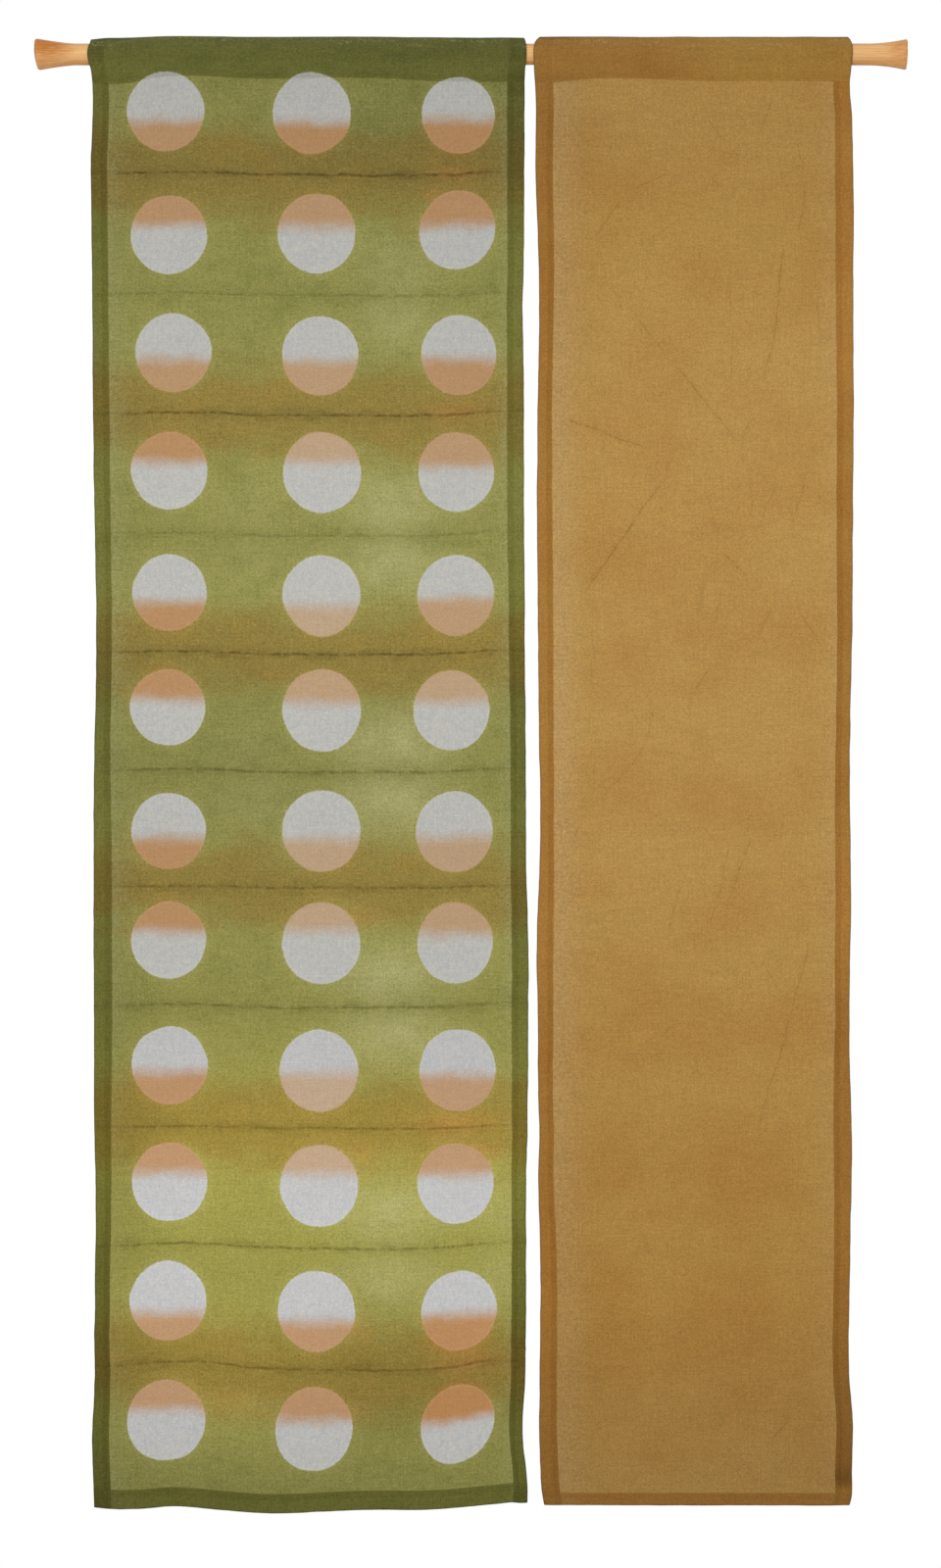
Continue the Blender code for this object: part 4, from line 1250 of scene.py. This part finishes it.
def right_cloth_material(dyes):
    finish = Finish("ochre_dyed_cloth")
    place = finish.in_millimetres(finish.uv("cloth"))
    level, height, parts, _ = cloth_threads(finish, place, 0.64)
    cloud = finish.noise(place, 110.0, 80.0, 2.0, 23.0)
    patch = finish.noise(place, 22.0, 16.0, 3.0, 33.0)
    ground = finish.mix(finish.step(cloud, 0.35, 0.7), dyes.ochre, dyes.deep_ochre)

    left_far, right_far = finish.read("from_left_hem"), finish.read("from_right_hem")
    fleck = finish.noise(place, 3.0, 3.4, 2.0, 43.0, 0.7)
    loose = finish.shift(fleck, 17.0)
    left_strip = finish.rest(finish.step(finish.plus(left_far, loose), 2.0, 38.0))
    right_strip = finish.rest(finish.step(finish.plus(right_far, loose), -4.0, 26.0))
    strip = finish.most(left_strip, finish.times(right_strip, 0.5))
    ground = frosted(finish, ground, strip, finish.least(left_far, right_far), fleck, 0.09, dyes.frost)

    mottle = finish.times(finish.around(cloud, 0.05), finish.around(patch, 0.09))
    ground = finish.shade(ground, finish.times(finish.read("tone"), mottle))
    ground = finish.tint(finish.step(patch, 0.52, 0.72, 0.0, 0.35), ground, (0.90, 0.92, 0.86))
    ground = finish.tint(finish.read("warmth"), ground, (1.02, 0.94, 0.76))
    ground = specked(finish, place, ground, 0.31, (0.62, 0.58, 0.46), dyes.speck)
    sharp, soft = wrinkle_shade_and_relief(finish, place)
    # Painted shade: a darker thin line in each wrinkle's crease and a faint shaded hollow beside it
    colour = finish.tint(sharp, ground, (0.79, 0.74, 0.65))
    colour = finish.tint(soft, colour, (0.975, 0.965, 0.945))

    # The pocket is more olive towards its right end than the hems are
    above_seam = finish.step(finish.read("from_seam"), 0.5, -0.5)
    olive = finish.times(finish.step(right_far, 210.0, 90.0), above_seam)
    two = finish.mix(olive, dyes.brown_cloths, dyes.two_cloths)
    colour = layered(finish, colour, two, dyes.third_cloth, OCHRE_TUCK)
    colour = worn_flecks_and_edge_shade(finish, place, colour, dyes.worn)
    pressed = finish.times(finish.plus(sharp, soft), 0.5)
    return cloth_surface(finish, colour, level, height, parts, dyes.thread, pressed)


def wood_material(colours):
    finish = Finish("pale_turned_wood")
    place = finish.object_place()
    streak = finish.noise(finish.vector("MULTIPLY", place, (0.02, 1.0, 1.0)), 1.6, 1.6, 3.0, 4.0)
    broad = finish.noise(finish.vector("MULTIPLY", place, (0.08, 1.0, 1.0)), 6.0, 6.0, 2.0, 8.0)
    share = finish.scaled(finish.step(streak, 0.4, 0.7), 0.5, finish.times(broad, 0.4))
    wood = finish.mix(share, colours.pale, colours.dark)
    parts = finish.parts(place)
    along, height = finish.plus(parts["X"], finish.shift(broad, 15.0)), parts["Z"]
    left = finish.times(finish.step(along, -396.0, -428.0), finish.step(height, -5.0, 5.0, 0.55, 1.0))
    right = finish.step(along, 408.0, 440.0, 0.0, 0.6)
    # Painted shade: browner towards the rod's underside and along its top edge, as on a cylinder lit from the
    # front
    low = finish.step(height, 2.0, -10.0, 0.0, 0.55)
    high = finish.step(height, 6.0, 11.0, 0.0, 0.4)
    stain_and_shade = finish.times(finish.most(left, right, low, high), finish.step(streak, 0.25, 0.6, 0.65, 1.0))
    finish.surface(finish.mix(stain_and_shade, wood, colours.stain_and_shade), finish.step(streak, 0.3, 0.7, 0.38, 0.5), 0.12)
    finish.bump(streak, 0.08)
    return finish.material


# The stage

def add_area_light(name, place, aim, size, power):
    light = bpy.data.lights.new(name, "AREA")
    light.shape = "DISK"
    light.size = size
    light.energy = power
    lamp = bpy.data.objects.new(name, light)
    lamp.location = place
    lamp.rotation_euler = (Vector(aim) - Vector(place)).to_track_quat("-Z", "Y").to_euler()
    lamp.visible_camera = False
    bpy.context.scene.collection.objects.link(lamp)


def make_stage(context):
    scene = context.scene
    studio = scene.noren_studio
    aim = Vector((studio.view_across, 0.0, studio.view_up))
    camera_data = bpy.data.cameras.new("noren_camera")
    camera_data.sensor_width = 36.0
    camera_data.lens = camera_data.sensor_width * studio.camera_distance / studio.view_height
    camera_data.clip_end = 100.0
    camera = bpy.data.objects.new("noren_camera", camera_data)
    camera.location = aim + Vector((0.0, -studio.camera_distance, 0.0))
    camera.rotation_euler = (radians(90), 0.0, 0.0)
    scene.collection.objects.link(camera)
    scene.camera = camera
    scene.view_settings.view_transform = "Standard"

    bm = bmesh.new()
    bmesh.ops.create_circle(bm, cap_ends=True, segments=96, radius=studio.floor_radius)
    bmesh.ops.translate(bm, verts=bm.verts, vec=(0.0, 0.0, studio.floor_height))
    finish = Finish("pale_floor")
    grain = finish.noise(finish.object_place(), 40.0, 40.0, 2.0, 2.0)
    finish.put(finish.shader.inputs["Base Color"], finish.mix(grain, (0.80, 0.80, 0.79), (0.84, 0.84, 0.83)))
    finish.shader.inputs["Roughness"].default_value = 0.8
    finish_mesh("floor", bm, finish.material)

    world = bpy.data.worlds.new("white_studio")
    world.use_nodes = True
    tree = world.node_tree
    background = next(node for node in tree.nodes if node.type == "BACKGROUND")
    background.inputs["Color"].default_value = (1.0, 1.0, 1.0, 1.0)
    seen = tree.nodes.new("ShaderNodeLightPath").outputs["Is Camera Ray"]
    strength = tree.nodes.new("ShaderNodeMapRange")
    strength.inputs["To Min"].default_value = studio.sky
    strength.inputs["To Max"].default_value = 1.0
    tree.links.new(seen, strength.inputs["Value"])
    tree.links.new(strength.outputs["Result"], background.inputs["Strength"])
    scene.world = world
    add_area_light("front_key", (-2.4, -5.6, 1.4), (0.0, 0.0, -0.72), 2.6, studio.key)
    add_area_light("back_fill", (1.8, 5.0, 0.9), (0.0, 0.0, -0.72), 2.6, studio.fill)


# Operators, panel and registration

class NorenOperator:
    bl_options = {"REGISTER", "UNDO"}


class NOREN_OT_rod(NorenOperator, bpy.types.Operator):
    """Turns the wooden rod with its two flared ends"""
    bl_idname = "noren.rod"
    bl_label = "Turned rod"

    def execute(self, context):
        make_rod(context)
        return {"FINISHED"}


class NOREN_OT_left_panel(NorenOperator, bpy.types.Operator):
    """Sews and dyes the wide left panel with its green and brown stripes and its round dots"""
    bl_idname = "noren.left_panel"
    bl_label = "Left panel"

    def execute(self, context):
        make_panel(context, LEFT_PANEL, left_cloth_material(context.scene.noren_left))
        return {"FINISHED"}


class NOREN_OT_right_panel(NorenOperator, bpy.types.Operator):
    """Sews and dyes the narrow right panel in plain ochre"""
    bl_idname = "noren.right_panel"
    bl_label = "Right panel"

    def execute(self, context):
        make_panel(context, RIGHT_PANEL, right_cloth_material(context.scene.noren_right))
        return {"FINISHED"}


class NOREN_OT_stage(NorenOperator, bpy.types.Operator):
    """Sets up the camera, the soft light and the pale floor"""
    bl_idname = "noren.stage"
    bl_label = "Stage"

    def execute(self, context):
        make_stage(context)
        return {"FINISHED"}


OPERATORS = (NOREN_OT_stage, NOREN_OT_rod, NOREN_OT_left_panel, NOREN_OT_right_panel)


class NOREN_PT_main(bpy.types.Panel):
    bl_label = "Noren"
    bl_idname = "NOREN_PT_main"
    bl_space_type = "VIEW_3D"
    bl_region_type = "UI"
    bl_category = "Noren"

    def draw(self, context):
        for operator in OPERATORS:
            self.layout.operator(operator.bl_idname)
        for name in SETTINGS:
            box = self.layout.box()
            settings = getattr(context.scene, name)
            for key in settings.bl_rna.properties.keys():
                if key not in ("name", "rna_type"):
                    box.prop(settings, key)


SETTINGS = {
    "noren_rod": NorenRodSizes,
    "noren_cloth": NorenClothSizes,
    "noren_left": NorenLeftDyes,
    "noren_right": NorenRightDyes,
    "noren_wood": NorenWoodColours,
    "noren_studio": NorenStudio,
}
CLASSES = (*SETTINGS.values(), *OPERATORS, NOREN_PT_main)


def register():
    for cls in CLASSES:
        bpy.utils.register_class(cls)
    for name, cls in SETTINGS.items():
        setattr(bpy.types.Scene, name, PointerProperty(type=cls))


def unregister():
    for name in SETTINGS:
        delattr(bpy.types.Scene, name)
    for cls in reversed(CLASSES):
        bpy.utils.unregister_class(cls)


def main():
    register()
    bpy.ops.noren.stage()
    bpy.ops.noren.rod()
    bpy.ops.noren.left_panel()
    bpy.ops.noren.right_panel()


if __name__ == "__main__":
    main()
